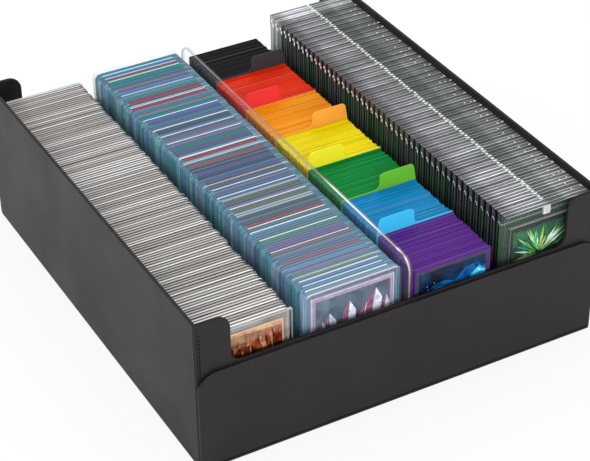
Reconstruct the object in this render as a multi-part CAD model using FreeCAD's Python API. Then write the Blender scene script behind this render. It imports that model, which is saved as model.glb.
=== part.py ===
"""Trading card storage box: an open tray of leatherette-wrapped board, standing on
its own wrap-around cover, with four rows of cards and a clear divider.

Units are millimetres.  X is the width, Y the length (front is -Y), Z points up from
the table.  The origin is the middle of the footprint, on the table.
Each sub-part is written to parts/NODE.step.
"""
import FreeCAD, Part
import os
import math

V = FreeCAD.Vector

# ---- cards -----------------------------------------------------------------------
CARD_WIDTH = 63.0
CARD_HEIGHT = 88.0
SLEEVE_EDGE = 1.6           # sleeve beyond the card at each side
SLEEVE_LIP = 8.6            # sleeve beyond the card in height
DOUBLE_SLEEVE_EDGE = 3.1    # outer sleeve of a double-sleeved card, at each side

# ---- row 1: open-topped rigid card pockets (toploaders) --------------------------
TOPLOADER_SHEET = 0.9       # thickness of the front and back sheets
TOPLOADER_CARD = 0.7        # card in its thin sleeve
TOPLOADER_SLACK = 0.2       # between the card and each sheet
TOPLOADER_WELD = 4.0        # closed margin at each side
TOPLOADER_FOOT = 7.8        # closed margin at the foot
TOPLOADER_PLAY = 3.0        # between the card and each side weld
TOPLOADER_MOUTH = 5.8       # pocket above the card
TOPLOADER_GAP = 0.2         # least gap between neighbours
ROW1_WALL_GAP = 2.0         # from the left lining
ROW1_FRONT_GAP = 4.0        # from the front lining

# ---- row 2: thick clear snap holders with rounded corners ------------------------
HOLDER_FACE = 1.1           # shell in front of the card seat
HOLDER_SEAM = 0.1           # gap between the two half shells
HOLDER_RADIUS = 5.0
HOLDER_MARGIN = 5.4         # closed margin round the card
HOLDER_SEAT_PLAY = 0.5
HOLDER_CARD = 1.5           # double-sleeved card
HOLDER_SLACK = 0.1          # in front of and behind the card
HOLDER_GAP = 0.2
ROW2_GAP = 10.0             # between rows 1 and 2
ROW2_FRONT_GAP = 3.4
CORNER_STEPS = (0, 30, 60, 90)   # degrees of the flats that stand for a round corner

# ---- clear centre divider --------------------------------------------------------
DIVIDER_THICKNESS = 3.0
DIVIDER_TOP = 121.0         # above the table
DIVIDER_RADIUS = 12.0
DIVIDER_GAP = 4.4           # between row 2 and the divider
DIVIDER_END_GAP = 0.4

# ---- row 3: sleeved cards in seven colours with tabbed dividers ------------------
COLOURS = ("purple", "blue", "green", "yellow", "orange", "red", "black")
SLEEVED_CARD = 0.8
SLEEVE_BUNDLE = 4.1         # a few sleeved cards pressed together
SLEEVE_GAP = 0.12           # least gap between neighbours
LOOSE_SIDE = 0.5            # how far bundles sit out of line sideways
LOOSE_TOP = 0.7             # and how far down
SIDE_WAVE = 2.4             # turns of the loose pattern from one bundle to the next
TOP_WAVE = 1.7
TAB_CARD = 0.8              # thickness of a tabbed divider
TAB_CARD_LIFT = 1.8         # its shoulder above the sleeves
TAB_CARD_OVERHANG = 0.7     # its side edges beyond the sleeves
TAB_WIDE = 33.0
TAB_TALL = 14.0
TAB_CORNER = 4.0
TAB_FOOT = 5.0              # hollow corner at the foot of the tab
TAB_SLANT = 1.6
ROW3_GAP = 4.0              # between the divider and row 3
ROW3_FRONT_GAP = 2.6

# ---- row 4: magnetic card cases --------------------------------------------------
CASE_FACE = 2.6             # shell in front of the card seat, at the thick head
CASE_STEP = 0.7             # the body is thinner than the head by this
CASE_HEAD_HEIGHT = 10.0
CASE_SEAM = 0.1
CASE_CARD = 0.8
CASE_SLACK = 0.1            # in front of and behind the card
CASE_MARGIN = 6.5           # beside the card
CASE_FOOT = 14.0            # under the card
CASE_HEAD = 14.0            # above the card
CASE_SEAT_PLAY = 0.6
CASE_MAGNET_WIDTH = 7.0
CASE_MAGNET_HEIGHT = 8.0
CASE_MAGNET_DEPTH = 2.4
CASE_MAGNET_BRIDGE = 1.2    # solid plastic over the magnet
CASE_GAP = 0.3
ROW4_GAP = 14.6             # between rows 3 and 4
ROW4_WALL_GAP = 0.8         # from the right lining
ROW4_FRONT_GAP = 4.6
ROW_END_GAP = 0.8           # between the last piece of a row and the back lining

# ---- tray ------------------------------------------------------------------------
TRAY_LENGTH = 380.0
BOX_HEIGHT = 130.5          # wall tops above the table
CORNER_RADIUS = 1.6         # upright outside corners of the tray
WALL_SKIN = 0.4             # leatherette, outside and over the wall tops
WALL_BOARD = 2.2
WALL_LINING = 0.4
LINING_DROP = 0.9           # lining stops this far from the wall tops
FLOOR_SKIN = 0.4
FLOOR_BOARD = 2.6
FLOOR_PAD = 3.6             # foam pad under the floor lining
FLOOR_LINING = 0.4

# ---- finger cut-out in the front and back walls ----------------------------------
TAB_WIDTH = 29.0            # corner left standing at each end of the wall
CUTOUT_HEIGHT = 88.0        # lowest edge of the cut-out above the table
TAB_RADIUS = 11.0           # rounded top of a standing corner
CUTOUT_RADIUS = 9.0         # hollow corner at its foot

# ---- wrap-around cover: base panel, folds and two flaps --------------------------
COVER_SKIN = 0.4
COVER_BOARD = 1.7
COVER_LINING = 0.4
COVER_INSET = 0.8           # cover is narrower than the tray by this on each side
LINING_MARGIN = 2.0         # the cover's skin is turned over the edge by this
FLAP_DROP = 1.4             # a raised flap's top edge below the cut-out
FLAP_RADIUS = 15.0
FOLD_GAP = 0.3              # running gap between a flap's foot and the fold

# ---- hold-shut magnets in flaps and walls ----------------------------------------
MAGNET_LENGTH = 20.0
MAGNET_HEIGHT = 10.0
MAGNET_THICKNESS = 1.3
MAGNET_EDGE = 54.0          # from the tray's side to the middle of a magnet

# ---- worked out ------------------------------------------------------------------
SLEEVE_WIDTH = CARD_WIDTH + 2 * SLEEVE_EDGE
SLEEVE_HEIGHT = CARD_HEIGHT + SLEEVE_LIP
TOPLOADER_WIDTH = CARD_WIDTH + 2 * (TOPLOADER_PLAY + TOPLOADER_WELD)
TOPLOADER_SLOT = TOPLOADER_CARD + 2 * TOPLOADER_SLACK
TOPLOADER_THICKNESS = TOPLOADER_SLOT + 2 * TOPLOADER_SHEET
HOLDER_WIDTH = CARD_WIDTH + 2 * (DOUBLE_SLEEVE_EDGE + HOLDER_MARGIN)
HOLDER_HEIGHT = SLEEVE_HEIGHT + 2 * HOLDER_MARGIN
HOLDER_RECESS = HOLDER_CARD + 2 * HOLDER_SLACK
HOLDER_HALF = HOLDER_RECESS + HOLDER_FACE
HOLDER_THICKNESS = 2 * HOLDER_HALF + HOLDER_SEAM
CASE_WIDTH = CARD_WIDTH + 2 * CASE_MARGIN
CASE_HEIGHT = CASE_FOOT + CARD_HEIGHT + CASE_HEAD
CASE_RECESS = CASE_CARD + 2 * CASE_SLACK
CASE_HALF = CASE_RECESS + CASE_FACE
CASE_THICKNESS = 2 * CASE_HALF + CASE_SEAM
COVER_THICKNESS = COVER_SKIN + COVER_BOARD + COVER_LINING
WALL = WALL_SKIN + WALL_BOARD + WALL_LINING
# the tray is as wide as its four rows and the divider need
ROWS_WIDTH = (ROW1_WALL_GAP + TOPLOADER_WIDTH + ROW2_GAP + HOLDER_WIDTH
              + DIVIDER_GAP + DIVIDER_THICKNESS + ROW3_GAP + SLEEVE_WIDTH
              + ROW4_GAP + CASE_WIDTH + ROW4_WALL_GAP)
TRAY_WIDTH = ROWS_WIDTH + 2 * WALL
TRAY_FOOT = COVER_THICKNESS
FLOOR_LEVEL = TRAY_FOOT + FLOOR_SKIN + FLOOR_BOARD + FLOOR_PAD + FLOOR_LINING
COVER_WIDTH = TRAY_WIDTH - 2 * COVER_INSET
FLAP_TOP = CUTOUT_HEIGHT - FLAP_DROP
INSIDE_LEFT = -TRAY_WIDTH / 2 + WALL
INSIDE_RIGHT = TRAY_WIDTH / 2 - WALL
INSIDE_FRONT = -TRAY_LENGTH / 2 + WALL
INSIDE_BACK = TRAY_LENGTH / 2 - WALL
# the same height whether the cover lies under the tray or on top of it
MAGNET_LEVEL = (BOX_HEIGHT + COVER_THICKNESS) / 2
OVERCUT = 2.0               # how far cutting tools run past what they cut
SAME_POINT = 1e-6           # two ends of an outline this close are one point


# ---- small helpers ---------------------------------------------------------------
def block(x0, x1, y0, y1, z0, z1):
    """Plain box between two corners."""
    return Part.makeBox(x1 - x0, y1 - y0, z1 - z0, V(x0, y0, z0))


def corner_arc(centre, radius, start, end):
    """Arc in the XZ plane about centre = (x, z); angles in degrees from +X."""
    def at(angle):
        turn = math.radians(angle)
        return V(centre[0] + radius * math.cos(turn), 0, centre[1] + radius * math.sin(turn))
    return Part.Arc(at(start), at((start + end) / 2), at(end)).toShape()


def outline_face(steps):
    """Face in the XZ plane from a closed run of (x, z) points and arc edges."""
    edges = []
    ends = []
    for step in steps:
        if isinstance(step, tuple):
            ends.append((V(step[0], 0, step[1]), V(step[0], 0, step[1]), None))
        else:
            ends.append((step.Vertexes[0].Point, step.Vertexes[-1].Point, step))
    for index, (first, last, edge) in enumerate(ends):
        if edge is not None:
            edges.append(edge)
        following = ends[(index + 1) % len(ends)][0]
        if last.distanceToPoint(following) > SAME_POINT:
            edges.append(Part.makeLine(last, following))
    return Part.Face(Part.Wire(edges))


def flat_corner(centre, radius, start):
    """Points along a quarter turn from start degrees, for corners that repeat often."""
    points = []
    for step in CORNER_STEPS:
        turn = math.radians(start + step)
        points.append((centre[0] + radius * math.cos(turn), centre[1] + radius * math.sin(turn)))
    return points


def prism_y(face, y0, y1):
    """Extrude an XZ face from y0 to y1."""
    moved = face.copy()
    moved.translate(V(0, y0, 0))
    return moved.extrude(V(0, y1 - y0, 0))


def round_topped(x0, x1, z0, z1, radius):
    """Upright plate outline with both top corners rounded."""
    return outline_face([
        (x0, z0), (x1, z0),
        corner_arc((x1 - radius, z1 - radius), radius, 0, 90),
        corner_arc((x0 + radius, z1 - radius), radius, 90, 180),
    ])


def rounded_block(half_x, half_y, z0, z1, radius):
    """Box centred on the Z axis with rounded upright corners."""
    solid = block(-half_x, half_x, -half_y, half_y, z0, z1)
    upright = [edge for edge in solid.Edges
               if abs(edge.Vertexes[0].Z - edge.Vertexes[-1].Z) > (z1 - z0) / 2]
    return solid.makeFillet(radius, upright)


def mirrored_y(shape):
    """The same piece at the other end of the box."""
    return shape.mirror(V(0, 0, 0), V(0, 1, 0))


# ---- tray ------------------------------------------------------------------------
def cutout_tool(margin):
    """Solid that cuts the finger cut-out in both end walls.

    margin is how far the cut stays outside the finished edge: the board is cut
    back by the skin that is turned over it.
    """
    side = TRAY_WIDTH / 2 - TAB_WIDTH + margin
    foot = CUTOUT_HEIGHT - margin
    top = BOX_HEIGHT - margin
    tab = TAB_RADIUS - margin
    hollow = CUTOUT_RADIUS + margin
    face = outline_face([
        (side + tab, top + margin + OVERCUT),
        (-side - tab, top + margin + OVERCUT),
        corner_arc((-side - tab, top - tab), tab, 90, 0),
        corner_arc((-side + hollow, foot + hollow), hollow, 180, 270),
        corner_arc((side - hollow, foot + hollow), hollow, 270, 360),
        corner_arc((side + tab, top - tab), tab, 180, 90),
    ])
    reach = TRAY_LENGTH / 2 + OVERCUT
    return prism_y(face, -reach, reach)


def wall_ring(outer_inset, inner_inset, z0, margin, radius):
    """Four walls in one, between two insets from the outside of the tray."""
    top = BOX_HEIGHT - margin
    half_x = TRAY_WIDTH / 2
    half_y = TRAY_LENGTH / 2
    if radius > 0:
        outer = rounded_block(half_x - outer_inset, half_y - outer_inset, z0, top, radius)
    else:
        outer = block(-half_x + outer_inset, half_x - outer_inset,
                      -half_y + outer_inset, half_y - outer_inset, z0, top)
    inner = block(-half_x + inner_inset, half_x - inner_inset,
                  -half_y + inner_inset, half_y - inner_inset, z0 - OVERCUT, top + OVERCUT)
    return outer.cut(inner).cut(cutout_tool(margin))


def magnet_block(side, y0, y1):
    """One hold-shut magnet; side is -1 for the left one and +1 for the right one."""
    x_mid = side * (TRAY_WIDTH / 2 - MAGNET_EDGE)
    return block(x_mid - MAGNET_LENGTH / 2, x_mid + MAGNET_LENGTH / 2, y0, y1,
                 MAGNET_LEVEL - MAGNET_HEIGHT / 2, MAGNET_LEVEL + MAGNET_HEIGHT / 2)


def front_wall_magnets():
    """Magnets let into the outer face of the front wall's board."""
    face_y = -TRAY_LENGTH / 2 + WALL_SKIN
    return [magnet_block(side, face_y, face_y + MAGNET_THICKNESS) for side in (-1, 1)]


def tray_boards():
    """Left, right, front and back wall boards."""
    frame = wall_ring(WALL_SKIN, WALL_SKIN + WALL_BOARD, TRAY_FOOT + FLOOR_SKIN,
                      WALL_SKIN, CORNER_RADIUS - WALL_SKIN)
    far_x = TRAY_WIDTH / 2
    far_y = TRAY_LENGTH / 2
    near_x = far_x - WALL_SKIN - WALL_BOARD
    left = frame.common(block(-far_x, -near_x, -far_y, far_y, 0, BOX_HEIGHT))
    right = frame.common(block(near_x, far_x, -far_y, far_y, 0, BOX_HEIGHT))
    front = frame.common(block(-near_x, near_x, -far_y, 0, 0, BOX_HEIGHT))
    for magnet in front_wall_magnets():
        front = front.cut(magnet)
    return {"tray_board_left": left, "tray_board_right": right,
            "tray_board_front": front, "tray_board_back": mirrored_y(front)}


def tray_skin():
    """Leatherette over the outside, the underside and the wall tops."""
    shell = rounded_block(TRAY_WIDTH / 2, TRAY_LENGTH / 2, TRAY_FOOT, BOX_HEIGHT, CORNER_RADIUS)
    inset = WALL_SKIN + WALL_BOARD
    well = block(-TRAY_WIDTH / 2 + inset, TRAY_WIDTH / 2 - inset,
                 -TRAY_LENGTH / 2 + inset, TRAY_LENGTH / 2 - inset,
                 TRAY_FOOT + FLOOR_SKIN, BOX_HEIGHT + OVERCUT)
    boards = wall_ring(WALL_SKIN, inset, TRAY_FOOT + FLOOR_SKIN, WALL_SKIN,
                       CORNER_RADIUS - WALL_SKIN)
    return shell.cut(well).cut(cutout_tool(0)).cut(boards)


def tray_inside():
    """Floor board, wall lining, foam pad and floor lining."""
    board_z = TRAY_FOOT + FLOOR_SKIN
    pad_z = board_z + FLOOR_BOARD
    lining_z = pad_z + FLOOR_PAD
    inset = WALL_SKIN + WALL_BOARD
    board = block(-TRAY_WIDTH / 2 + inset, TRAY_WIDTH / 2 - inset,
                  -TRAY_LENGTH / 2 + inset, TRAY_LENGTH / 2 - inset, board_z, pad_z)
    lining = wall_ring(inset, WALL, pad_z, LINING_DROP, 0)
    pad = block(INSIDE_LEFT, INSIDE_RIGHT, INSIDE_FRONT, INSIDE_BACK, pad_z, lining_z)
    floor = block(INSIDE_LEFT, INSIDE_RIGHT, INSIDE_FRONT, INSIDE_BACK, lining_z, FLOOR_LEVEL)
    return {"tray_floor_board": board, "tray_wall_lining": lining,
            "tray_floor_pad": pad, "tray_floor_lining": floor}


# ---- cover -----------------------------------------------------------------------
def cover_base():
    """Base panel under the tray: board, skin turned over its sides, lining."""
    half_x = COVER_WIDTH / 2
    half_y = TRAY_LENGTH / 2
    board_top = COVER_SKIN + COVER_BOARD
    board = block(-half_x + COVER_SKIN, half_x - COVER_SKIN, -half_y, half_y,
                  COVER_SKIN, board_top)
    skin = block(-half_x, half_x, -half_y, half_y, 0, COVER_THICKNESS).cut(board)
    lining_x = half_x - LINING_MARGIN
    lining = block(-lining_x, lining_x, -half_y, half_y, board_top, COVER_THICKNESS)
    return {"cover_board": board, "cover_skin": skin.cut(lining), "cover_lining": lining}


def fold_strip():
    """Leatherette fold along the front edge of the base panel, round on the outside."""
    radius = COVER_THICKNESS / 2
    axis_y = -TRAY_LENGTH / 2 - radius
    bead = Part.makeCylinder(radius, COVER_WIDTH, V(-COVER_WIDTH / 2, axis_y, radius), V(1, 0, 0))
    web = block(-COVER_WIDTH / 2, COVER_WIDTH / 2, axis_y, -TRAY_LENGTH / 2, 0, COVER_THICKNESS)
    return bead.fuse(web).removeSplitter()


def flap_plate(margin, y0, y1):
    """Slab with the flap's outline, drawn in by margin on all sides."""
    half_x = COVER_WIDTH / 2 - margin
    foot = COVER_THICKNESS + FOLD_GAP + margin
    face = round_topped(-half_x, half_x, foot, FLAP_TOP - margin, FLAP_RADIUS - margin)
    return prism_y(face, y0, y1)


def front_flap():
    """Raised front flap against the front wall: board, skin, lining and magnets."""
    inner = -TRAY_LENGTH / 2
    outer = inner - COVER_THICKNESS
    board_inner = inner - COVER_LINING
    board_outer = outer + COVER_SKIN
    board = flap_plate(COVER_SKIN, board_outer, board_inner)
    lining = flap_plate(LINING_MARGIN, board_inner, inner)
    skin = flap_plate(0, outer, inner).cut(board).cut(lining)
    magnets = [magnet_block(side, board_inner - MAGNET_THICKNESS, board_inner)
               for side in (-1, 1)]
    for magnet in magnets:
        board = board.cut(magnet)
    return {"board": board, "skin": skin, "lining": lining,
            "magnets": Part.makeCompound(magnets)}


# ---- contents --------------------------------------------------------------------
def row_of(piece, front_y, thickness, least_gap):
    """Copies of a row's front piece, evenly spaced from behind it to the back wall."""
    room = INSIDE_BACK - ROW_END_GAP - thickness - front_y
    count = int(math.floor(room / (thickness + least_gap)))
    copies = []
    for number in range(1, count + 1):
        copy = piece.copy()
        copy.translate(V(0, room * number / count, 0))
        copies.append(copy)
    return Part.makeCompound(copies)


def toploader(x0, y0):
    """Rigid pocket open at the top, and the sleeved card standing in it."""
    x1 = x0 + TOPLOADER_WIDTH
    y1 = y0 + TOPLOADER_THICKNESS
    x_mid = (x0 + x1) / 2
    y_mid = (y0 + y1) / 2
    foot = FLOOR_LEVEL + TOPLOADER_FOOT
    top = foot + CARD_HEIGHT + TOPLOADER_MOUTH
    pocket = block(x0, x1, y0, y1, FLOOR_LEVEL, top)
    slot = block(x0 + TOPLOADER_WELD, x1 - TOPLOADER_WELD, y_mid - TOPLOADER_SLOT / 2,
                 y_mid + TOPLOADER_SLOT / 2, foot, top + OVERCUT)
    card = block(x_mid - CARD_WIDTH / 2, x_mid + CARD_WIDTH / 2, y_mid - TOPLOADER_CARD / 2,
                 y_mid + TOPLOADER_CARD / 2, foot, foot + CARD_HEIGHT)
    return pocket.cut(slot), card


def filled_toploader(x0, y0):
    """The same pocket with its card fused in, so only the mouth above the card is open."""
    pocket, card = toploader(x0, y0)
    core = block(x0 + TOPLOADER_WELD, x0 + TOPLOADER_WIDTH - TOPLOADER_WELD,
                 y0, y0 + TOPLOADER_THICKNESS, FLOOR_LEVEL + TOPLOADER_FOOT, card.BoundBox.ZMax)
    return pocket.fuse(core).removeSplitter()


def thick_holder(x0, y0):
    """Clear snap holder: front half with the card seat, back half and the card."""
    x1 = x0 + HOLDER_WIDTH
    seam = y0 + HOLDER_HALF
    face = round_topped(x0, x1, FLOOR_LEVEL, FLOOR_LEVEL + HOLDER_HEIGHT, HOLDER_RADIUS)
    foot = FLOOR_LEVEL + HOLDER_MARGIN
    play = HOLDER_SEAT_PLAY
    card = block(x0 + HOLDER_MARGIN, x1 - HOLDER_MARGIN, seam - HOLDER_SLACK - HOLDER_CARD,
                 seam - HOLDER_SLACK, foot, foot + SLEEVE_HEIGHT)
    seat = block(x0 + HOLDER_MARGIN - play, x1 - HOLDER_MARGIN + play,
                 seam - HOLDER_RECESS, seam + OVERCUT, foot, foot + SLEEVE_HEIGHT + play)
    return {"front": prism_y(face, y0, seam).cut(seat),
            "back": prism_y(face, seam + HOLDER_SEAM, y0 + HOLDER_THICKNESS),
            "card": card}


def closed_holder(x0, y0):
    """The same holder snapped shut round its card, as one solid."""
    x1 = x0 + HOLDER_WIDTH
    top = FLOOR_LEVEL + HOLDER_HEIGHT
    centre_z = top - HOLDER_RADIUS
    points = [(x0, FLOOR_LEVEL), (x1, FLOOR_LEVEL)]
    points += flat_corner((x1 - HOLDER_RADIUS, centre_z), HOLDER_RADIUS, 0)
    points += flat_corner((x0 + HOLDER_RADIUS, centre_z), HOLDER_RADIUS, 90)
    return prism_y(outline_face(points), y0, y0 + HOLDER_THICKNESS)


def case_half(x0, seam, outward):
    """Half shell of a magnetic case: a thick head over a thinner body.

    outward is -1 for the front half and +1 for the back half.
    """
    top = FLOOR_LEVEL + CASE_HEIGHT
    neck = top - CASE_HEAD_HEIGHT
    corners = [(0, FLOOR_LEVEL), (CASE_HALF - CASE_STEP, FLOOR_LEVEL),
               (CASE_HALF - CASE_STEP, neck), (CASE_HALF, neck), (CASE_HALF, top), (0, top)]
    points = [V(x0, seam + outward * depth, z) for depth, z in corners]
    side = Part.Face(Part.makePolygon(points + points[:1]))
    return side.extrude(V(CASE_WIDTH, 0, 0))


def magnetic_case(x0, y0):
    """Two-part case: front half with the card and magnet seats, back half, card, magnet."""
    x_mid = x0 + CASE_WIDTH / 2
    seam = y0 + CASE_HALF
    magnet_top = FLOOR_LEVEL + CASE_HEIGHT - CASE_MAGNET_BRIDGE
    magnet = block(x_mid - CASE_MAGNET_WIDTH / 2, x_mid + CASE_MAGNET_WIDTH / 2,
                   seam - CASE_MAGNET_DEPTH, seam, magnet_top - CASE_MAGNET_HEIGHT, magnet_top)
    foot = FLOOR_LEVEL + CASE_FOOT
    seat_x = CARD_WIDTH / 2 + CASE_SEAT_PLAY
    seat = block(x_mid - seat_x, x_mid + seat_x, seam - CASE_RECESS, seam + OVERCUT,
                 foot, foot + CARD_HEIGHT + CASE_SEAT_PLAY)
    card = block(x_mid - CARD_WIDTH / 2, x_mid + CARD_WIDTH / 2, seam - CASE_SLACK - CASE_CARD,
                 seam - CASE_SLACK, foot, foot + CARD_HEIGHT)
    shell = case_half(x0, seam, -1).cut(magnet)
    return {"front": shell.cut(seat), "front_closed": shell,
            "back": case_half(x0, seam + CASE_SEAM, 1), "card": card, "magnet": magnet}


def row3_counts():
    """Bundles of each colour in row 3, and the pitch at which they fill the row."""
    fixed = SLEEVED_CARD + SLEEVE_GAP + (len(COLOURS) - 1) * (TAB_CARD + SLEEVE_GAP)
    room = (INSIDE_BACK - ROW_END_GAP - INSIDE_FRONT - ROW3_FRONT_GAP - fixed) / len(COLOURS)
    count = int(math.floor(room / (SLEEVE_BUNDLE + SLEEVE_GAP)))
    return count, room / count


def colour_group(x0, y0, order, count, pitch):
    """One colour's sleeved cards as bundles that stand a little out of line."""
    bundles = []
    for number in range(order * count, order * count + count):
        shift = LOOSE_SIDE * math.sin(SIDE_WAVE * number)
        sink = LOOSE_TOP * math.sin(TOP_WAVE * number) ** 2
        front = y0 + (number - order * count) * pitch
        bundles.append(block(x0 + shift, x0 + shift + SLEEVE_WIDTH, front,
                             front + SLEEVE_BUNDLE, FLOOR_LEVEL,
                             FLOOR_LEVEL + SLEEVE_HEIGHT - sink))
    return Part.makeCompound(bundles)


def tabbed_divider(x_mid, y0, side):
    """Thin divider with one raised, rounded tab on its left (-1) or right (+1)."""
    half_x = SLEEVE_WIDTH / 2 + TAB_CARD_OVERHANG
    x0 = x_mid - half_x
    x1 = x_mid + half_x
    shoulder = FLOOR_LEVEL + SLEEVE_HEIGHT + TAB_CARD_LIFT
    peak = shoulder + TAB_TALL
    outer = x1 - TAB_SLANT
    inner = x1 - TAB_WIDE
    face = outline_face([
        (x0, FLOOR_LEVEL), (x1, FLOOR_LEVEL), (x1, shoulder),
        corner_arc((outer - TAB_CORNER, peak - TAB_CORNER), TAB_CORNER, 0, 90),
        corner_arc((inner + TAB_CORNER, peak - TAB_CORNER), TAB_CORNER, 90, 180),
        corner_arc((inner - TAB_FOOT, shoulder + TAB_FOOT), TAB_FOOT, 0, -90),
        (x0, shoulder),
    ])
    plate = prism_y(face, y0, y0 + TAB_CARD)
    if side < 0:
        plate = plate.mirror(V(x_mid, 0, 0), V(1, 0, 0))
    return plate


def row1(x0):
    """Toploaders: the front one in full, the rest behind it."""
    y0 = INSIDE_FRONT + ROW1_FRONT_GAP
    pocket, card = toploader(x0, y0)
    rest = row_of(filled_toploader(x0, y0), y0, TOPLOADER_THICKNESS, TOPLOADER_GAP)
    return {"front_toploader": pocket, "front_toploader_card": card, "row1_toploaders": rest}


def row2(x0):
    """Thick snap holders: the front one in full, the rest behind it."""
    y0 = INSIDE_FRONT + ROW2_FRONT_GAP
    nodes = {}
    for name, piece in thick_holder(x0, y0).items():
        nodes["front_holder_" + name] = piece
    nodes["row2_holders"] = row_of(closed_holder(x0, y0), y0, HOLDER_THICKNESS, HOLDER_GAP)
    return nodes


def clear_divider(x0):
    """Clear sheet that stands lengthways in the tray, with its left face at x0."""
    sheet = round_topped(INSIDE_FRONT + DIVIDER_END_GAP, INSIDE_BACK - DIVIDER_END_GAP,
                         FLOOR_LEVEL, DIVIDER_TOP, DIVIDER_RADIUS)
    plate = prism_y(sheet, -DIVIDER_THICKNESS, 0)
    plate.rotate(V(0, 0, 0), V(0, 0, 1), 90)
    plate.translate(V(x0, 0, 0))
    return plate


def row3(x0):
    """Sleeved cards in seven colours, with a tabbed divider in front of each new colour."""
    y = INSIDE_FRONT + ROW3_FRONT_GAP
    count, pitch = row3_counts()
    nodes = {"front_sleeved_card": block(x0, x0 + SLEEVE_WIDTH, y, y + SLEEVED_CARD,
                                         FLOOR_LEVEL, FLOOR_LEVEL + SLEEVE_HEIGHT)}
    y += SLEEVED_CARD + SLEEVE_GAP
    side = 1
    for order, colour in enumerate(COLOURS):
        if order > 0:
            side = -side
            nodes["divider_" + colour] = tabbed_divider(x0 + SLEEVE_WIDTH / 2, y, side)
            y += TAB_CARD + SLEEVE_GAP
        nodes["cards_" + colour] = colour_group(x0, y, order, count, pitch)
        y += count * pitch
    return nodes


def row4(x0):
    """Magnetic cases: the front one in full, the rest with their cards fused in."""
    y0 = INSIDE_FRONT + ROW4_FRONT_GAP
    case = magnetic_case(x0, y0)
    closed = case.pop("front_closed")
    nodes = {"front_case_" + name: piece for name, piece in case.items()}
    for name, piece in (("fronts", closed), ("backs", case["back"]), ("magnets", case["magnet"])):
        nodes["row4_case_" + name] = row_of(piece, y0, CASE_THICKNESS, CASE_GAP)
    return nodes


def contents():
    """All four rows and the clear divider, from left to right."""
    nodes = {}
    x = INSIDE_LEFT + ROW1_WALL_GAP
    nodes.update(row1(x))
    x += TOPLOADER_WIDTH + ROW2_GAP
    nodes.update(row2(x))
    x += HOLDER_WIDTH + DIVIDER_GAP
    nodes["centre_divider"] = clear_divider(x)
    x += DIVIDER_THICKNESS + ROW3_GAP
    nodes.update(row3(x))
    x += SLEEVE_WIDTH + ROW4_GAP
    nodes.update(row4(x))
    return nodes


# ---- the whole assembly ----------------------------------------------------------
def assembly():
    """Every node's shape by name."""
    nodes = {}
    nodes.update(cover_base())
    nodes["fold_front"] = fold_strip()
    nodes["fold_back"] = mirrored_y(fold_strip())
    for name, piece in front_flap().items():
        nodes["front_flap_" + name] = piece
        nodes["back_flap_" + name] = mirrored_y(piece)
    nodes.update(tray_boards())
    nodes["tray_skin"] = tray_skin()
    nodes.update(tray_inside())
    front_magnets = Part.makeCompound(front_wall_magnets())
    nodes["tray_magnets_front"] = front_magnets
    nodes["tray_magnets_back"] = mirrored_y(front_magnets)
    nodes.update(contents())
    return nodes


os.makedirs("parts", exist_ok=True)
for node_name, shape in assembly().items():
    shape.exportStep("parts/" + node_name + ".step")
    print(node_name, len(shape.Solids), round(shape.Volume))
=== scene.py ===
"""Looks of the card tray: rounded leatherette skins, clear card holders, sleeved cards,
tabbed dividers and printed front cards, dressed round the CAD frame.

Metres, in the CAD frame: origin in the middle of the footprint on the table,
+X to the right, -Y to the front and +Z up.
"""
import math
import random

import bmesh
import bpy
from mathutils import Matrix, Vector


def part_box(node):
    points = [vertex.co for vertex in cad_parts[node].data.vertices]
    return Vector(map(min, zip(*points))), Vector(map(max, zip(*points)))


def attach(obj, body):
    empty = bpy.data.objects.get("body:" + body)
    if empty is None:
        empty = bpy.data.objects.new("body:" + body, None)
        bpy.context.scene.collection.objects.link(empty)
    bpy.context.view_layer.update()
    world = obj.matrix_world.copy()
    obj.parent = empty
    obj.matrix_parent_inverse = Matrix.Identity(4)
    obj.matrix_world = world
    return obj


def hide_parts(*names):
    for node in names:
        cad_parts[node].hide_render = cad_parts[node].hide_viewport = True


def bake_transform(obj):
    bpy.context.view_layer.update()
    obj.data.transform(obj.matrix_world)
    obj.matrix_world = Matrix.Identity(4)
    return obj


MM = 0.001
COLOURS = ("purple", "blue", "green", "yellow", "orange", "red", "black")
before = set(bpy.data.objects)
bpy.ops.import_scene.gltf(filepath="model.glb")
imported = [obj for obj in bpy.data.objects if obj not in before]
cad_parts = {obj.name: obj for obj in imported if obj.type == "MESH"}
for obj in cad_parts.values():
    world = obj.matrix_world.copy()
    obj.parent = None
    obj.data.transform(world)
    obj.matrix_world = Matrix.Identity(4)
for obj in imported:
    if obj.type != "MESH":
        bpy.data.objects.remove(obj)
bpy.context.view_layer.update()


# ---- camera ----------------------------------------------------------------------
CAMERA_PLACE = Vector((-0.6077, -1.1312, 0.9233))
CAMERA_ANGLES = (-28.7515, 34.6005, -0.6504)    # azimuth, elevation and roll, in degrees
CAMERA_LENS = 116.35
CAMERA_SENSOR = 36


def make_camera():
    """Camera above the front left corner, with a long lens."""
    azimuth, elevation, roll = (math.radians(angle) for angle in CAMERA_ANGLES)
    back = Vector((math.sin(azimuth) * math.cos(elevation),
                   -math.cos(azimuth) * math.cos(elevation), math.sin(elevation)))
    level = Vector((math.cos(azimuth), math.sin(azimuth), 0))
    upright = back.cross(level)
    right = level * math.cos(roll) + upright * math.sin(roll)
    up = upright * math.cos(roll) - level * math.sin(roll)
    turn = Matrix((right, up, back)).transposed().to_4x4()
    data = bpy.data.cameras.new("camera")
    data.sensor_width = CAMERA_SENSOR
    data.lens = CAMERA_LENS
    data.clip_start = 0.01
    camera = bpy.data.objects.new("camera", data)
    camera.matrix_world = Matrix.Translation(CAMERA_PLACE) @ turn
    bpy.context.scene.collection.objects.link(camera)
    bpy.context.scene.camera = camera


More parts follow.
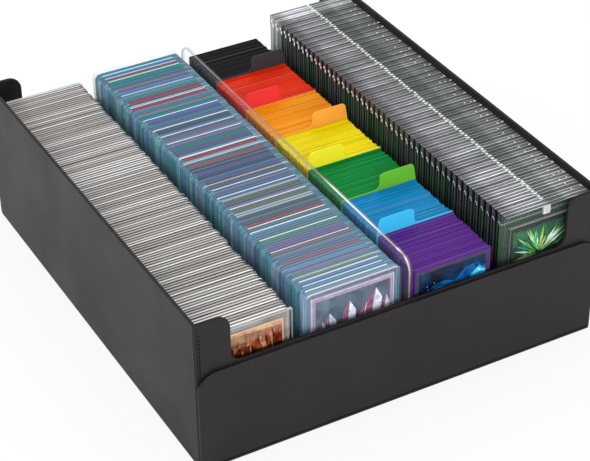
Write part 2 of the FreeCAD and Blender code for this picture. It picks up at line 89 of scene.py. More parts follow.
# ---- colours and shaders ---------------------------------------------------------
NOISE_ROUGHNESS = 0.55
FLAT_ENOUGH = 0.6           # part of a normal along Z on faces that look up
SQUARE_ENOUGH = 0.9         # part of a normal along Y on faces that look to the ends
CARD_RIM = 3.2 * MM
PICTURE_FOOT = 0.36         # share of a card's height at its picture's foot
FIRST_CARD = [(0.28, (0.015, 0.05, 0.10)), (0.42, (0.05, 0.22, 0.26)), (0.52, (0.42, 0.34, 0.16)),
              (0.62, (0.30, 0.08, 0.05)), (0.75, (0.60, 0.55, 0.45))]


def rgba(colour):
    """Four-part colour of a grey level, or of three or four parts."""
    parts = (colour,) * 3 if isinstance(colour, (int, float)) else tuple(colour)
    return (*parts, 1)[:4]


def scaled(colour, factor, lift=0.0):
    """Colour with every part scaled and lifted, at most 1."""
    return tuple(min(1.0, part * factor + lift) for part in colour)


def warm(level, warmth):
    """Near-neutral colour with its red lifted and its blue lowered."""
    return (level * (1 + warmth), level, level * (1 - warmth))


class Shader:
    """A material and short ways to add nodes to it."""

    def __init__(self, name, **sockets):
        self.material = bpy.data.materials.new(name)
        self.material.use_nodes = True
        self.nodes = self.material.node_tree.nodes
        self.links = self.material.node_tree.links
        self.bsdf = self.nodes["Principled BSDF"]
        self.put(self.bsdf, sockets)
        self.place = self.nodes.new("ShaderNodeTexCoord").outputs["Object"]

    def plug(self, socket, value):
        """Link a node's output to a socket, or set the socket's number or colour."""
        if isinstance(value, bpy.types.NodeSocket):
            self.links.new(value, socket)
        elif socket.type == "RGBA":
            socket.default_value = rgba(value)
        else:
            socket.default_value = value

    def put(self, node, sockets):
        """Set or link a node's inputs by their names, with _ for each space."""
        for name, value in sockets.items():
            self.plug(node.inputs[name.replace("_", " ")], value)

    def add(self, kind, settings=None, **sockets):
        """New node with settings as attributes and sockets as inputs."""
        node = self.nodes.new("ShaderNode" + kind)
        for name, value in (settings or {}).items():
            setattr(node, name, value)
        self.put(node, sockets)
        return node

    def paint(self, colour):
        """Base colour of the main shader."""
        self.put(self.bsdf, {"Base Color": colour})

    def bump(self, height, strength, distance):
        """Bump on the main shader."""
        node = self.add("Bump", Height=height, Strength=strength, Distance=distance)
        self.put(self.bsdf, {"Normal": node.outputs["Normal"]})

    def noise(self, scale, detail=3.0, stretch=None, distortion=0.0):
        """Noise in the piece's own space; stretch scales its three axes."""
        where = self.place
        if stretch:
            where = self.add("Mapping", Vector=where, Scale=stretch).outputs["Vector"]
        return self.add("TexNoise", Vector=where, Scale=scale, Detail=detail,
                        Roughness=NOISE_ROUGHNESS, Distortion=distortion).outputs["Fac"]

    def streaks(self, x, y, z, detail=2):
        """Noise drawn out along the axes with the smaller numbers."""
        return self.noise(1.0, detail, (x, y, z))

    def cells(self, scale, feature="F1"):
        """Distance from the middles of small cells."""
        return self.add("TexVoronoi", {"feature": feature}, Vector=self.place,
                        Scale=scale).outputs["Distance"]

    def ramp(self, value, stops, constant=False):
        """Colour ramp; stops are (position, colour or grey level)."""
        node = self.add("ValToRGB", Fac=value)
        ramp = node.color_ramp
        if constant:
            ramp.interpolation = "CONSTANT"
        while len(ramp.elements) < len(stops):
            ramp.elements.new(1.0)
        for element, (position, colour) in zip(ramp.elements, stops):
            element.position = position
            element.color = rgba(colour)
        return node.outputs["Color"]

    def between(self, value, dark, light, low=0.3, high=0.7):
        """Colour that goes from dark to light as the value goes from low to high."""
        return self.ramp(value, [(low, dark), (high, light)])

    def span(self, value, source, target=(0.0, 1.0)):
        """Value carried from one range to another."""
        node = self.add("MapRange", Value=value)
        for name, number in zip(("From Min", "From Max", "To Min", "To Max"), (*source, *target)):
            node.inputs[name].default_value = number
        return node.outputs["Result"]

    def math(self, operation, first, second=0.0):
        """One Math node."""
        node = self.add("Math", {"operation": operation})
        self.plug(node.inputs[0], first)
        self.plug(node.inputs[1], second)
        return node.outputs["Value"]

    def product(self, first, second):
        """Product of two values."""
        return self.math("MULTIPLY", first, second)

    def mix(self, factor, first, second, blend="MIX"):
        """Mix of two colours."""
        node = self.add("Mix", {"data_type": "RGBA", "blend_type": blend})
        for number, value in ((0, factor), (6, first), (7, second)):
            self.plug(node.inputs[number], value)
        return node.outputs[2]

    def times(self, first, *others):
        """Product of two or more colours."""
        for other in others:
            first = self.mix(1.0, first, other, "MULTIPLY")
        return first

    def axis(self, name):
        """One coordinate of the piece's own space."""
        return self.add("SeparateXYZ", Vector=self.place).outputs[name]

    def share(self, axis, low, high):
        """Place along an axis: 0 at low and 1 at high."""
        return self.span(self.axis(axis), (low, high))

    def normal(self, axis):
        """One part of the face's own direction."""
        direction = self.add("NewGeometry").outputs["Normal"]
        return self.add("SeparateXYZ", Vector=direction).outputs[axis]

    def facing_up(self):
        """1 on faces that look up, 0 on upright ones."""
        return self.math("GREATER_THAN", self.normal("Z"), FLAT_ENOUGH)

    def facing_ends(self):
        """1 on faces that look to the front or the back."""
        return self.math("GREATER_THAN", self.math("ABSOLUTE", self.normal("Y")), SQUARE_ENOUGH)

    def inside(self, x0, x1, z0, z1):
        """1 inside an upright rectangle."""
        across, up = self.axis("X"), self.axis("Z")
        mask = self.math("GREATER_THAN", across, x0)
        for test, place, edge in (("LESS_THAN", across, x1), ("GREATER_THAN", up, z0),
                                  ("LESS_THAN", up, z1)):
            mask = self.product(mask, self.math(test, place, edge))
        return mask

    def card_seen(self, side, low, high, margins, border):
        """The first card of a packed row, seen through the clear face in front of it."""
        left, foot, head = margins
        x0, x1, z0, z1 = low.x + left, high.x - left, low.z + foot, high.z - head
        split = z0 + PICTURE_FOOT * (z1 - z0)
        picture = self.ramp(self.noise(34, 6, distortion=1.2), FIRST_CARD)
        panel = self.between(self.noise(90), (0.30, 0.27, 0.22), (0.42, 0.38, 0.31))
        card = self.mix(self.inside(x0 + CARD_RIM, x1 - CARD_RIM, z0 + CARD_RIM,
                                    split - CARD_RIM / 2), border, panel)
        card = self.mix(self.inside(x0 + CARD_RIM, x1 - CARD_RIM, split, z1 - CARD_RIM),
                        card, picture)
        face = self.mix(self.inside(x0, x1, z0, z1), side, card)
        return self.mix(self.facing_ends(), side, face)

    def slots(self, start, pitch):
        """Number of slots of a row along Y from its start, with the part of the last one."""
        return self.math("DIVIDE", self.math("SUBTRACT", self.axis("Y"), start), pitch)

    def cell(self, start, pitch, seed):
        """Random value that stays the same over each slot of a row along Y."""
        number = self.math("ADD", self.math("FLOOR", self.slots(start, pitch)), seed)
        return self.add("TexWhiteNoise", {"noise_dimensions": "1D"}, W=number).outputs["Value"]

    def phase(self, start, pitch):
        """Place within each slot of a row along Y: 0 at its front, 1 at its back."""
        return self.math("FRACT", self.slots(start, pitch))


# ---- materials -------------------------------------------------------------------
def toned(name, grain, dark, light, ends=(0.3, 0.7), bump=None, **sockets):
    """Finish whose colour goes from dark to light along a noise, grain being its settings.

    bump is its noise's scale, or 0 for the same noise, with its strength and distance.
    """
    shader = Shader(name, **sockets)
    tone = shader.noise(*grain)
    shader.paint(shader.between(tone, dark, light, *ends))
    if bump:
        scale, strength, distance = bump
        shader.bump(shader.noise(scale, 2) if scale else tone, strength, distance)
    return shader.material


def leatherette(name, dark, light, roughness=0.5, specular=0.25):
    """Matte leatherette with a fine pebbled grain, uneven tone and faintly rubbed patches."""
    shader = Shader(name, Specular_IOR_Level=specular, Specular_Tint=(1.0, 0.92, 0.96))
    shader.paint(shader.between(shader.noise(22, 5), dark, light, high=0.72))
    rubbed = shader.span(shader.noise(16, 5, distortion=0.4), (0.3, 0.7),
                         (roughness - 0.045, roughness + 0.045))
    shader.put(shader.bsdf, {"Roughness": rubbed})
    pebbles = shader.product(shader.cells(1300.0, "SMOOTH_F1"), 0.6)
    shader.bump(shader.math("ADD", pebbles, shader.noise(420, 4)), 0.32, 0.0002)
    return shader.material


def foam_dark():
    """Closed-cell foam sheet."""
    shader = Shader("foam_dark", Roughness=0.85)
    cells = shader.cells(1100.0)
    shader.paint(shader.between(cells, (0.03, 0.03, 0.032), (0.07, 0.07, 0.075), 0.0, 0.8))
    shader.bump(cells, 0.5, 0.0003)
    return shader.material


def thin_clear(name, tint, cover):
    """Clear moulded pane: a faint tinted veil, a little uneven, with a soft shine."""
    shader = Shader(name, Roughness=0.12, Specular_IOR_Level=0.08)
    tone = shader.noise(25)
    veil = shader.span(tone, (0.0, 1.0), (cover * 0.7, cover * 1.3))
    shader.put(shader.bsdf, {"Base Color": shader.between(tone, scaled(tint, 0.7), tint),
                             "Alpha": veil})
    return shader.material


def row_finish(shader, side, top):
    """Finish of a packed row: one colour on upright faces, another on faces that look up."""
    shader.paint(shader.mix(shader.facing_up(), side, top))
    shader.bump(shader.noise(300, 2), 0.05, 0.0001)
    return shader.material


def lit_edge(name, deep, pale):
    """Edge of a clear moulding: a painted highlight along its top, deeper tones down its sides."""
    shader = Shader(name, Roughness=0.15, Specular_IOR_Level=0.3)
    cloud = shader.noise(70, 4)
    sides = shader.between(cloud, deep, pale, 0.35, 0.65)
    top = shader.between(cloud, 0.62, 0.86, 0.35, 0.65)
    shader.paint(shader.mix(shader.facing_up(), sides, top))
    return shader.material


def sleeve_film(name, colour, shade):
    """Matte card sleeve: fine satin texture and a tone that drifts from sleeve to sleeve."""
    shader = Shader(name, Roughness=0.55, Specular_IOR_Level=0.08)
    shader.paint(shader.ramp(shader.cell(0.0, 0.0011, 3.0), [
        (0.0, scaled(colour, shade)), (0.75, colour), (0.92, scaled(colour, 1.12, 0.004)),
        (0.93, scaled(colour, 0.85, 0.045))]))
    shader.bump(shader.noise(1800, 2), 0.12, 0.0001)
    return shader.material


def tab_sheet(name, colour):
    """Smooth plastic sheet of a tabbed divider."""
    return toned(name, (40,), scaled(colour, 0.94), colour, bump=(1500, 0.06, 0.00008),
                 Roughness=0.4, Specular_IOR_Level=0.15)


def ink(name, colour, other=None, scale=120.0):
    """Printed ink: two tones that run into each other."""
    return toned("print_" + name, (scale, 5, None, 0.6), other or scaled(colour, 0.75), colour,
                 (0.38, 0.62), Roughness=0.35, Specular_IOR_Level=0.15)


# ---- mesh helpers ----------------------------------------------------------------
def mesh_piece(name, bm, materials, sharp=35, even=False):
    """Object from a bmesh, smooth except across edges sharper than the angle.

    even keeps the broad faces beside rounded edges flat.
    """
    bmesh.ops.recalc_face_normals(bm, faces=bm.faces)
    mesh = bpy.data.meshes.new(name)
    bm.to_mesh(mesh)
    bm.free()
    for material in materials:
        mesh.materials.append(material)
    for polygon in mesh.polygons:
        polygon.use_smooth = True
    mesh.set_sharp_from_angle(angle=math.radians(sharp))
    piece = bpy.data.objects.new(name, mesh)
    bpy.context.scene.collection.objects.link(piece)
    if even:
        modifier = piece.modifiers.new("even_shading", "WEIGHTED_NORMAL")
        modifier.keep_sharp = True
        modifier.weight = 80
    return piece


def round_edges(bm, width, segments=4, angle=50, choose=None, material=0):
    """Round the edges where faces meet at more than the angle, if choose picks them."""
    edges = [edge for edge in bm.edges if edge.is_manifold
             and edge.calc_face_angle() > math.radians(angle) and (not choose or choose(edge))]
    bmesh.ops.bevel(bm, geom=edges, offset=width, segments=segments, profile=0.5,
                    affect="EDGES", clamp_overlap=True, material=material)


def rounded_copy(node, name, materials, width, segments=2, edge_material=0):
    """Copy of a CAD node with its edges rounded."""
    bm = bmesh.new()
    bm.from_mesh(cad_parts[node].data)
    bmesh.ops.remove_doubles(bm, verts=bm.verts, dist=1e-6)
    bmesh.ops.dissolve_limit(bm, angle_limit=math.radians(1), verts=bm.verts, edges=bm.edges)
    for face in bm.faces:
        face.material_index = 0
    round_edges(bm, width, segments, 40, material=edge_material)
    return mesh_piece(name, bm, materials, even=True)


BOX_FACES = ((0, 1, 3, 2), (4, 6, 7, 5), (0, 4, 5, 1), (2, 3, 7, 6), (0, 2, 6, 4), (1, 5, 7, 3))


def add_box(bm, low, high, material=0):
    """Plain block with the given corners."""
    corners = [bm.verts.new((x, y, z)) for x in (low[0], high[0]) for y in (low[1], high[1])
               for z in (low[2], high[2])]
    for loop in BOX_FACES:
        bm.faces.new([corners[index] for index in loop]).material_index = material


def add_strip(bm, first, second):
    """Band of faces between two rows of vertices."""
    for index in range(len(first) - 1):
        bm.faces.new((first[index], first[index + 1], second[index + 1], second[index]))


def add_stack(bm, rings, cap=0, sides=None):
    """Closed body through a stack of equal rings of vertices; sides are its bands' materials."""
    bm.faces.new(rings[0]).material_index = cap
    bm.faces.new(list(reversed(rings[-1]))).material_index = cap
    for level, (lower, upper) in enumerate(zip(rings, rings[1:])):
        for index in range(len(lower)):
            following = (index + 1) % len(lower)
            face = bm.faces.new((lower[index], upper[index], upper[following], lower[following]))
            face.material_index = sides[level] if sides else 0


def arc(centre, radius, start, end, steps):
    """Points (x, z) along an arc, angles in degrees."""
    turns = [math.radians(start + (end - start) * step / steps) for step in range(steps + 1)]
    return [(centre[0] + radius * math.cos(turn), centre[1] + radius * math.sin(turn))
            for turn in turns]


def plate_outline(x0, x1, z0, z1, radius, inset=0.0, steps=5, stops=()):
    """Upright plate with round top corners, drawn in by inset; stops add points on its top."""
    x0, x1, z0, z1 = x0 + inset, x1 - inset, z0 + inset, z1 - inset
    radius = max(radius - inset, 0.0001)
    return [(x0, z0), (x1, z0), *arc((x1 - radius, z1 - radius), radius, 0, 90, steps),
            *((x, z1) for x in sorted(stops, reverse=True)),
            *arc((x0 + radius, z1 - radius), radius, 90, 180, steps)]


def add_plate(bm, outline_at, y0, y1, chamfer, cap=0, edge=0, rim=0):
    """Plate with chamfered rims between y0 and y1. outline_at(inset) gives its outline."""
    levels = ((y0, chamfer), (y0 + chamfer, 0), (y1 - chamfer, 0), (y1, chamfer))
    rings = [[bm.verts.new((x, y, z)) for x, z in outline_at(inset)] for y, inset in levels]
    add_stack(bm, rings, cap, (edge, rim, edge))


def dress(piece, body, slot, *nodes):
    """The piece rides on a body and stands for CAD nodes; slot is not used."""
    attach(piece, body)
    if nodes:
        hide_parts(*nodes)
    return piece


def packed_row(front, group):
    """(low, high, pitch, thickness, front faces) of a row's copies behind its front piece."""
    front_low, front_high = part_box(front)
    low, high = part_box(group)
    pitch = low.y - front_low.y
    thickness = front_high.y - front_low.y
    count = round((high.y - low.y - thickness) / pitch) + 1
    return low, high, pitch, thickness, [low.y + number * pitch for number in range(count)]




# ---- the leatherette tray --------------------------------------------------------
TAB_WIDTH = 29 * MM
CUTOUT_HEIGHT = 88 * MM
TAB_RADIUS = 11 * MM
CUTOUT_RADIUS = 9 * MM
CORNER_RADIUS = 1.6 * MM
CORNER_STEPS = 4
ARC_STEPS = 8
WALL = 2.6 * MM             # board and skin, without the lining
FLOOR_SKIN = 0.4 * MM
TOP_ROUND = 0.8 * MM        # leatherette turned over the wall tops
FOOT_ROUND = 0.5 * MM


def end_wall_top(half_x, top):
    """Top line of an end wall from left to right: tab, hollow corner, cut-out, and back up."""
    side = half_x - TAB_WIDTH
    left = [(-half_x + CORNER_RADIUS, top)]
    left += arc((-side - TAB_RADIUS, top - TAB_RADIUS), TAB_RADIUS, 90, 0, ARC_STEPS)
    left += arc((-side + CUTOUT_RADIUS, CUTOUT_HEIGHT + CUTOUT_RADIUS), CUTOUT_RADIUS, 180, 270,
                ARC_STEPS)
    return left + [(-x, z) for x, z in reversed(left)]


def tray_shell(skin):
    """Leatherette-covered walls and underside as one skin with rounded wall tops."""
    low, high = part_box("tray_skin")
    half_x, half_y, foot, top = high.x, high.y, low.z, high.z
    line = end_wall_top(half_x, top)
    inner_x, inner_y = half_x - WALL, half_y - WALL
    bm = bmesh.new()
    walls = {}
    for side in (-1, 1):
        outer = [bm.verts.new((x, side * half_y, z)) for x, z in line]
        inner = [bm.verts.new((max(-inner_x, min(inner_x, x)), side * inner_y, z)) for x, z in line]
        feet = [bm.verts.new((x, side * half_y, foot)) for x in (line[0][0], line[-1][0])]
        inner_feet = [bm.verts.new((x, side * inner_y, foot + FLOOR_SKIN))
                      for x in (-inner_x, inner_x)]
        bm.faces.new(outer + feet[::-1])
        bm.faces.new(inner + inner_feet[::-1])
        add_strip(bm, outer, inner)
        walls[side] = (outer, inner, feet, inner_feet)
    corners = {}
    for side_x, end in ((-1, 0), (1, -1)):
        for side_y in (-1, 1):
            outer, inner, feet, inner_feet = walls[side_y]
            tops, bottoms = [outer[end]], [feet[end]]
            for step in range(1, CORNER_STEPS + 1):
                turn = math.radians(90 * step / CORNER_STEPS)
                x = side_x * (half_x - CORNER_RADIUS + CORNER_RADIUS * math.sin(turn))
                y = side_y * (half_y - CORNER_RADIUS + CORNER_RADIUS * math.cos(turn))
                tops.append(bm.verts.new((x, y, top)))
                bottoms.append(bm.verts.new((x, y, foot)))
            add_strip(bm, tops, bottoms)
            bm.faces.new(tops + [inner[end]])
            corners[side_x, side_y] = (tops, bottoms)
    for side_x, end in ((-1, 0), (1, -1)):
        (front_top, front_foot), (back_top, back_foot) = (
            [row[-1] for row in corners[side_x, side_y]] for side_y in (-1, 1))
        front_inner, back_inner = walls[-1][1][end], walls[1][1][end]
        bm.faces.new((front_top, back_top, back_foot, front_foot))
        bm.faces.new((front_top, back_top, back_inner, front_inner))
        bm.faces.new((front_inner, back_inner, walls[1][3][end], walls[-1][3][end]))
    bm.faces.new(walls[-1][3] + walls[1][3][::-1])
    bm.faces.new(corners[-1, -1][1] + corners[-1, 1][1][::-1]
                 + corners[1, 1][1] + corners[1, -1][1][::-1])
    bmesh.ops.recalc_face_normals(bm, faces=bm.faces)
    round_edges(bm, TOP_ROUND, choose=lambda edge: min(
        vertex.co.z for vertex in edge.verts) > CUTOUT_HEIGHT - MM)
    round_edges(bm, FOOT_ROUND, 2, choose=lambda edge: max(
        vertex.co.z for vertex in edge.verts) < foot + 0.1 * MM)
    shell = mesh_piece("tray_shell", bm, [skin], sharp=50, even=True)
    return dress(shell, "tray", "leatherette", "tray_skin", "tray_board_left",
                 "tray_board_right", "tray_board_front", "tray_board_back")


# ---- stitches --------------------------------------------------------------------
STITCH_INSET = 4.2 * MM     # from the tray's corner
STITCH_PITCH = 3.6 * MM
STITCH_LENGTH = 2.2 * MM
STITCH_RADIUS = 0.55 * MM
STITCH_SIDES = 6
STITCH_LEAN = 0.12
STITCHES_FOOT = 6 * MM      # first stitch above the wall's foot
SEAM_INSET = 2.3 * MM
SEAM_WIDTH = 0.45 * MM


def add_stitch(bm, centre, along):
    """One thread stitch: a small capsule, half sunk in the skin."""
    turn = Vector((0, 0, 1)).rotation_difference(Vector(along)).to_matrix().to_4x4()
    place = Matrix.Translation(centre) @ turn
    angles = [math.tau * step / STITCH_SIDES for step in range(STITCH_SIDES)]
    rings = []
    for height, share in ((-0.5, 0.35), (-0.38, 0.9), (0.38, 0.9), (0.5, 0.35)):
        radius = STITCH_RADIUS * share
        rings.append([bm.verts.new(place @ Vector(
            (radius * math.cos(angle), radius * math.sin(angle), STITCH_LENGTH * height)))
            for angle in angles])
    add_stack(bm, rings)


def corner_stitches(thread):
    """A seam and a line of stitches up each corner of both end walls."""
    low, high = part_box("tray_skin")
    bm = bmesh.new()
    count = int((high.z - low.z - 10 * MM) / STITCH_PITCH)
    for side_x in (-1, 1):
        for side_y in (-1, 1):
            for number in range(count):
                add_stitch(bm, (side_x * (high.x - STITCH_INSET), side_y * (high.y + 0.02 * MM),
                                low.z + STITCHES_FOOT + number * STITCH_PITCH),
                           (STITCH_LEAN * side_x, 0, 1))
            seam = sorted(side_x * (high.x - SEAM_INSET - wide) for wide in (0, SEAM_WIDTH))
            face = sorted(side_y * (high.y + proud) for proud in (-0.1 * MM, 0.04 * MM))
            add_box(bm, (seam[0], face[0], low.z + MM), (seam[1], face[1], high.z - 2.5 * MM))
    return dress(mesh_piece("corner_stitches", bm, [thread]), "tray", "leatherette")


# ---- the cover -------------------------------------------------------------------
FLAP_RADIUS = 15 * MM
COVER_ROUND = 0.8 * MM
LINING_PROUD = 0.05 * MM
FOLD_INSET = 0.3 * MM       # the fold's ends inside the cover's sides
FOLD_SECTIONS = 24


def cover_flap(side, skin):
    """Flap as one leatherette panel, its top corners round; its lining stays the CAD's own."""
    end = "front" if side < 0 else "back"
    low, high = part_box(end + "_flap_skin")
    outer, inner = (low.y, high.y - LINING_PROUD) if side < 0 else (low.y + LINING_PROUD, high.y)
    points = plate_outline(low.x, high.x, low.z, high.z, FLAP_RADIUS, steps=12)
    bm = bmesh.new()
    add_stack(bm, [[bm.verts.new((x, y, z)) for x, z in points] for y in (outer, inner)])
    piece = mesh_piece(end + "_flap_panel", bm, [skin], sharp=50, even=True)
    return dress(piece, end + "_flap", "leatherette", end + "_flap_skin", end + "_flap_board",
                 end + "_flap_magnets")


def cover_base(skin):
    """Base panel as one leatherette panel with rounded sides."""
    low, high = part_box("cover_skin")
    bm = bmesh.new()
    add_box(bm, low, (high.x, high.y, high.z - LINING_PROUD))
    long_edges = [edge for edge in bm.edges
                  if abs(edge.verts[0].co.y - edge.verts[1].co.y) > MM]
    bmesh.ops.bevel(bm, geom=long_edges, offset=COVER_ROUND, segments=4, profile=0.5,
                    affect="EDGES")
    piece = mesh_piece("cover_panel", bm, [skin], sharp=50, even=True)
    return dress(piece, "cover", "leatherette", "cover_skin", "cover_board")


def fold_skin(side, skin):
    """Leatherette fold from the base panel round to the flap."""
    end = "front" if side < 0 else "back"
    low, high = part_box("fold_" + end)
    radius = high.z / 2
    edge_y = high.y if side < 0 else low.y
    axis_y = edge_y + side * radius
    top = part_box(end + "_flap_skin")[0].z + COVER_ROUND
    bend = [(axis_y + side * along, radius + up)
            for along, up in arc((0, 0), radius, -90, 0, ARC_STEPS)]
    outline = [(edge_y, 0.02 * MM), *bend, (axis_y + side * radius, top), (axis_y, top),
               (edge_y, top * 0.9), (edge_y, high.z)]
    bm = bmesh.new()
    wide = high.x - low.x - 2 * FOLD_INSET
    add_stack(bm, [[bm.verts.new((low.x + FOLD_INSET + wide * step / FOLD_SECTIONS, y, z))
                    for y, z in outline] for step in range(FOLD_SECTIONS + 1)])
    piece = mesh_piece(end + "_fold_skin", bm, [skin], sharp=60)
    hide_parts("fold_" + end)
    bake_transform(piece)
    return piece


# ---- row 1 -----------------------------------------------------------------------
SHEET = 0.9 * MM
TOPLOADER_CORNER = 3 * MM
TOPLOADER_WELD = 4 * MM
TOPLOADER_FOOT = 7.8 * MM
TOPLOADER_CARD_INSET = 7 * MM
TOPLOADER_CARD_HALF = 0.35 * MM     # half the card's thickness
TOPLOADER_CHAMFER = 0.16 * MM
MOUTH = 5.8 * MM
REAR_CALM = 0.30            # how far the last pockets' tops fade to one grey
# the front rims' tops carry painted highlights, the back rims' tops painted shade, and the strip in
# each pocket's opening the painted light and shade seen inside the slot
TOPLOADER_TOPS = (
    ("sheet", [(0.0, warm(0.34, 0.04)), (1.0, warm(0.46, 0.04))]),
    ("front_rim_highlight", [(0.0, warm(0.42, 0.04)), (0.40, warm(0.58, 0.03)), (0.56, 1.0)]),
    ("mouth_light", [(0.0, warm(0.38, 0.07)), (0.3, warm(0.46, 0.07)), (0.6, warm(0.54, 0.07)),
               (0.85, (0.60, 0.52, 0.47)), (0.93, (0.50, 0.50, 0.44))]),
    ("back_rim_shade", [(0.0, warm(0.012, 0.05)), (0.4, warm(0.035, 0.05)), (0.8, warm(0.10, 0.04))]))


def toploader_finishes():
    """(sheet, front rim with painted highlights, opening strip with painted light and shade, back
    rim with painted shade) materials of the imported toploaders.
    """
    low, high, pitch = packed_row("front_toploader", "row1_toploaders")[:3]
    finishes = []
    for name, tops in TOPLOADER_TOPS:
        shader = Shader("toploader_" + name, Roughness=0.3, Specular_IOR_Level=0.25)
        top = shader.ramp(shader.cell(low.y - 0.08 * MM, pitch, 2.0), tops, constant=True)
        top = shader.times(top, shader.between(shader.streaks(14.0, 40.0, 14.0, 3), 0.86, 1.0))
        calm = shader.math("POWER", shader.share("Y", low.y, high.y), 2.0)
        top = shader.mix(shader.product(calm, REAR_CALM), top, warm(0.26, 0.06))
        side = shader.between(shader.streaks(30.0, 330.0, 5.0), warm(0.03, 0.02),
                              warm(0.30, 0.02), 0.35, 0.65)
        if name == "sheet":
            side = shader.card_seen(side, low, high, (TOPLOADER_CARD_INSET, TOPLOADER_FOOT, MOUTH),
                                    (0.30, 0.14, 0.05))
        finishes.append(row_finish(shader, side, top))
    return finishes


def toploader_row(sheet, front_rim_highlight, mouth_light, back_rim_shade, card, empty):
    """Rigid pockets: two sheets, welded sides, and the card down inside; the last is empty."""
    low, high, pitch, thickness, places = packed_row("front_toploader", "row1_toploaders")
    bm = bmesh.new()
    chance = random.Random(11)
    for y in places:
        top = high.z - chance.uniform(0, 0.5) * MM
        shift = chance.uniform(-0.4, 0.4) * MM
        right = high.x - chance.uniform(0, 1.9) * MM
        back = y + thickness

        def outline(inset, top=top, shift=shift, right=right):
            return plate_outline(low.x + 0.4 * MM + shift, right, low.z, top,
                                 TOPLOADER_CORNER, inset, steps=3)
        bare = y == places[-1]
        # the front sheet takes the rim with painted highlights, the back sheet the rim with painted
        # shade
        for start, rim in ((y, 1), (back - SHEET, 3)):
            finish = (5, 5, 5) if bare else (0, rim, rim)
            add_plate(bm, outline, start, start + SHEET, TOPLOADER_CHAMFER, *finish)
        if bare:
            continue
        for x0 in (low.x + 0.6 * MM + shift, right - 0.3 * MM - TOPLOADER_WELD):
            add_box(bm, (x0, y + SHEET, low.z),
                    (x0 + TOPLOADER_WELD, back - SHEET, top - 2.2 * MM))
        # a strip in the pocket's opening, painted with the light and shade seen inside the slot
        add_box(bm, (low.x + 3.4 * MM + shift, y + SHEET, top - MOUTH),
                (right - 3.2 * MM, back - SHEET, top - 0.25 * MM), 2)
        middle = y + thickness / 2
        add_box(bm, (low.x + TOPLOADER_CARD_INSET + shift, middle - TOPLOADER_CARD_HALF,
                     low.z + TOPLOADER_FOOT),
                (high.x - TOPLOADER_CARD_INSET + shift, middle + TOPLOADER_CARD_HALF,
                 top - MOUTH), 4)
    piece = mesh_piece("row1_clear_pockets", bm, [sheet, front_rim_highlight, mouth_light, back_rim_shade, card, empty],
                       sharp=30)
    return dress(piece, "row1_toploaders", "toploader", "row1_toploaders")


# ---- row 2 -----------------------------------------------------------------------
HOLDER_CORNER = 5 * MM
HOLDER_MARGIN = 5.4 * MM
HOLDER_CHAMFER = 0.28 * MM
HOLDER_PLAY = 0.3 * MM      # beside each holder
EMPTY_HOLDERS = 1           # at the back of the row
SLEEVE_EDGE = 3.1 * MM      # clear sleeve beside the card
ROW_BACK, ROW_FRONT = 0.17, -0.18
WHOLE_CARDS = 0.4           # share of the holders with two hues rather than one
HIGHLIGHT_WIDTH = 0.28          # of a holder's pitch
HOLDER_HUES = (
    (0.010, 0.24, 0.28), (0.050, 0.18, 0.46), (0.13, 0.10, 0.36), (0.040, 0.10, 0.15),
    (0.32, 0.050, 0.11), (0.02, 0.24, 0.20), (0.06, 0.22, 0.40), (0.42, 0.52, 0.62),
    (0.15, 0.13, 0.33), (0.34, 0.11, 0.15), (0.13, 0.17, 0.12), (0.045, 0.15, 0.33),
    (0.02, 0.25, 0.31), (0.11, 0.15, 0.20), (0.05, 0.15, 0.34), (0.04, 0.26, 0.27))
HOLDER_HINTS = [(0.0, (0.8, 1.0, 1.0)), (0.5, (1.0, 0.85, 1.1)), (0.62, (0.7, 1.0, 0.9)),
                (0.8, (1.3, 0.9, 1.0)), (0.9, (0.9, 0.9, 1.2))]
SHELL_TOPS = [(0.0, (0.06, 0.155, 0.22)), (0.5, (0.09, 0.20, 0.28)), (1.0, (0.16, 0.29, 0.35))]
GLINT_TOPS = [(0.0, (0.03, 0.10, 0.14)), (0.3, (0.05, 0.16, 0.22)), (0.72, (0.22, 0.34, 0.42)),
              (0.90, (0.80, 0.84, 0.88))]
HIGHLIGHT_LINES = [(0.0, (0.60, 0.65, 0.71)), (0.55, (0.62, 0.46, 0.58)),
               (0.75, (0.44, 0.64, 0.62)), (0.85, (0.72, 0.74, 0.78))]


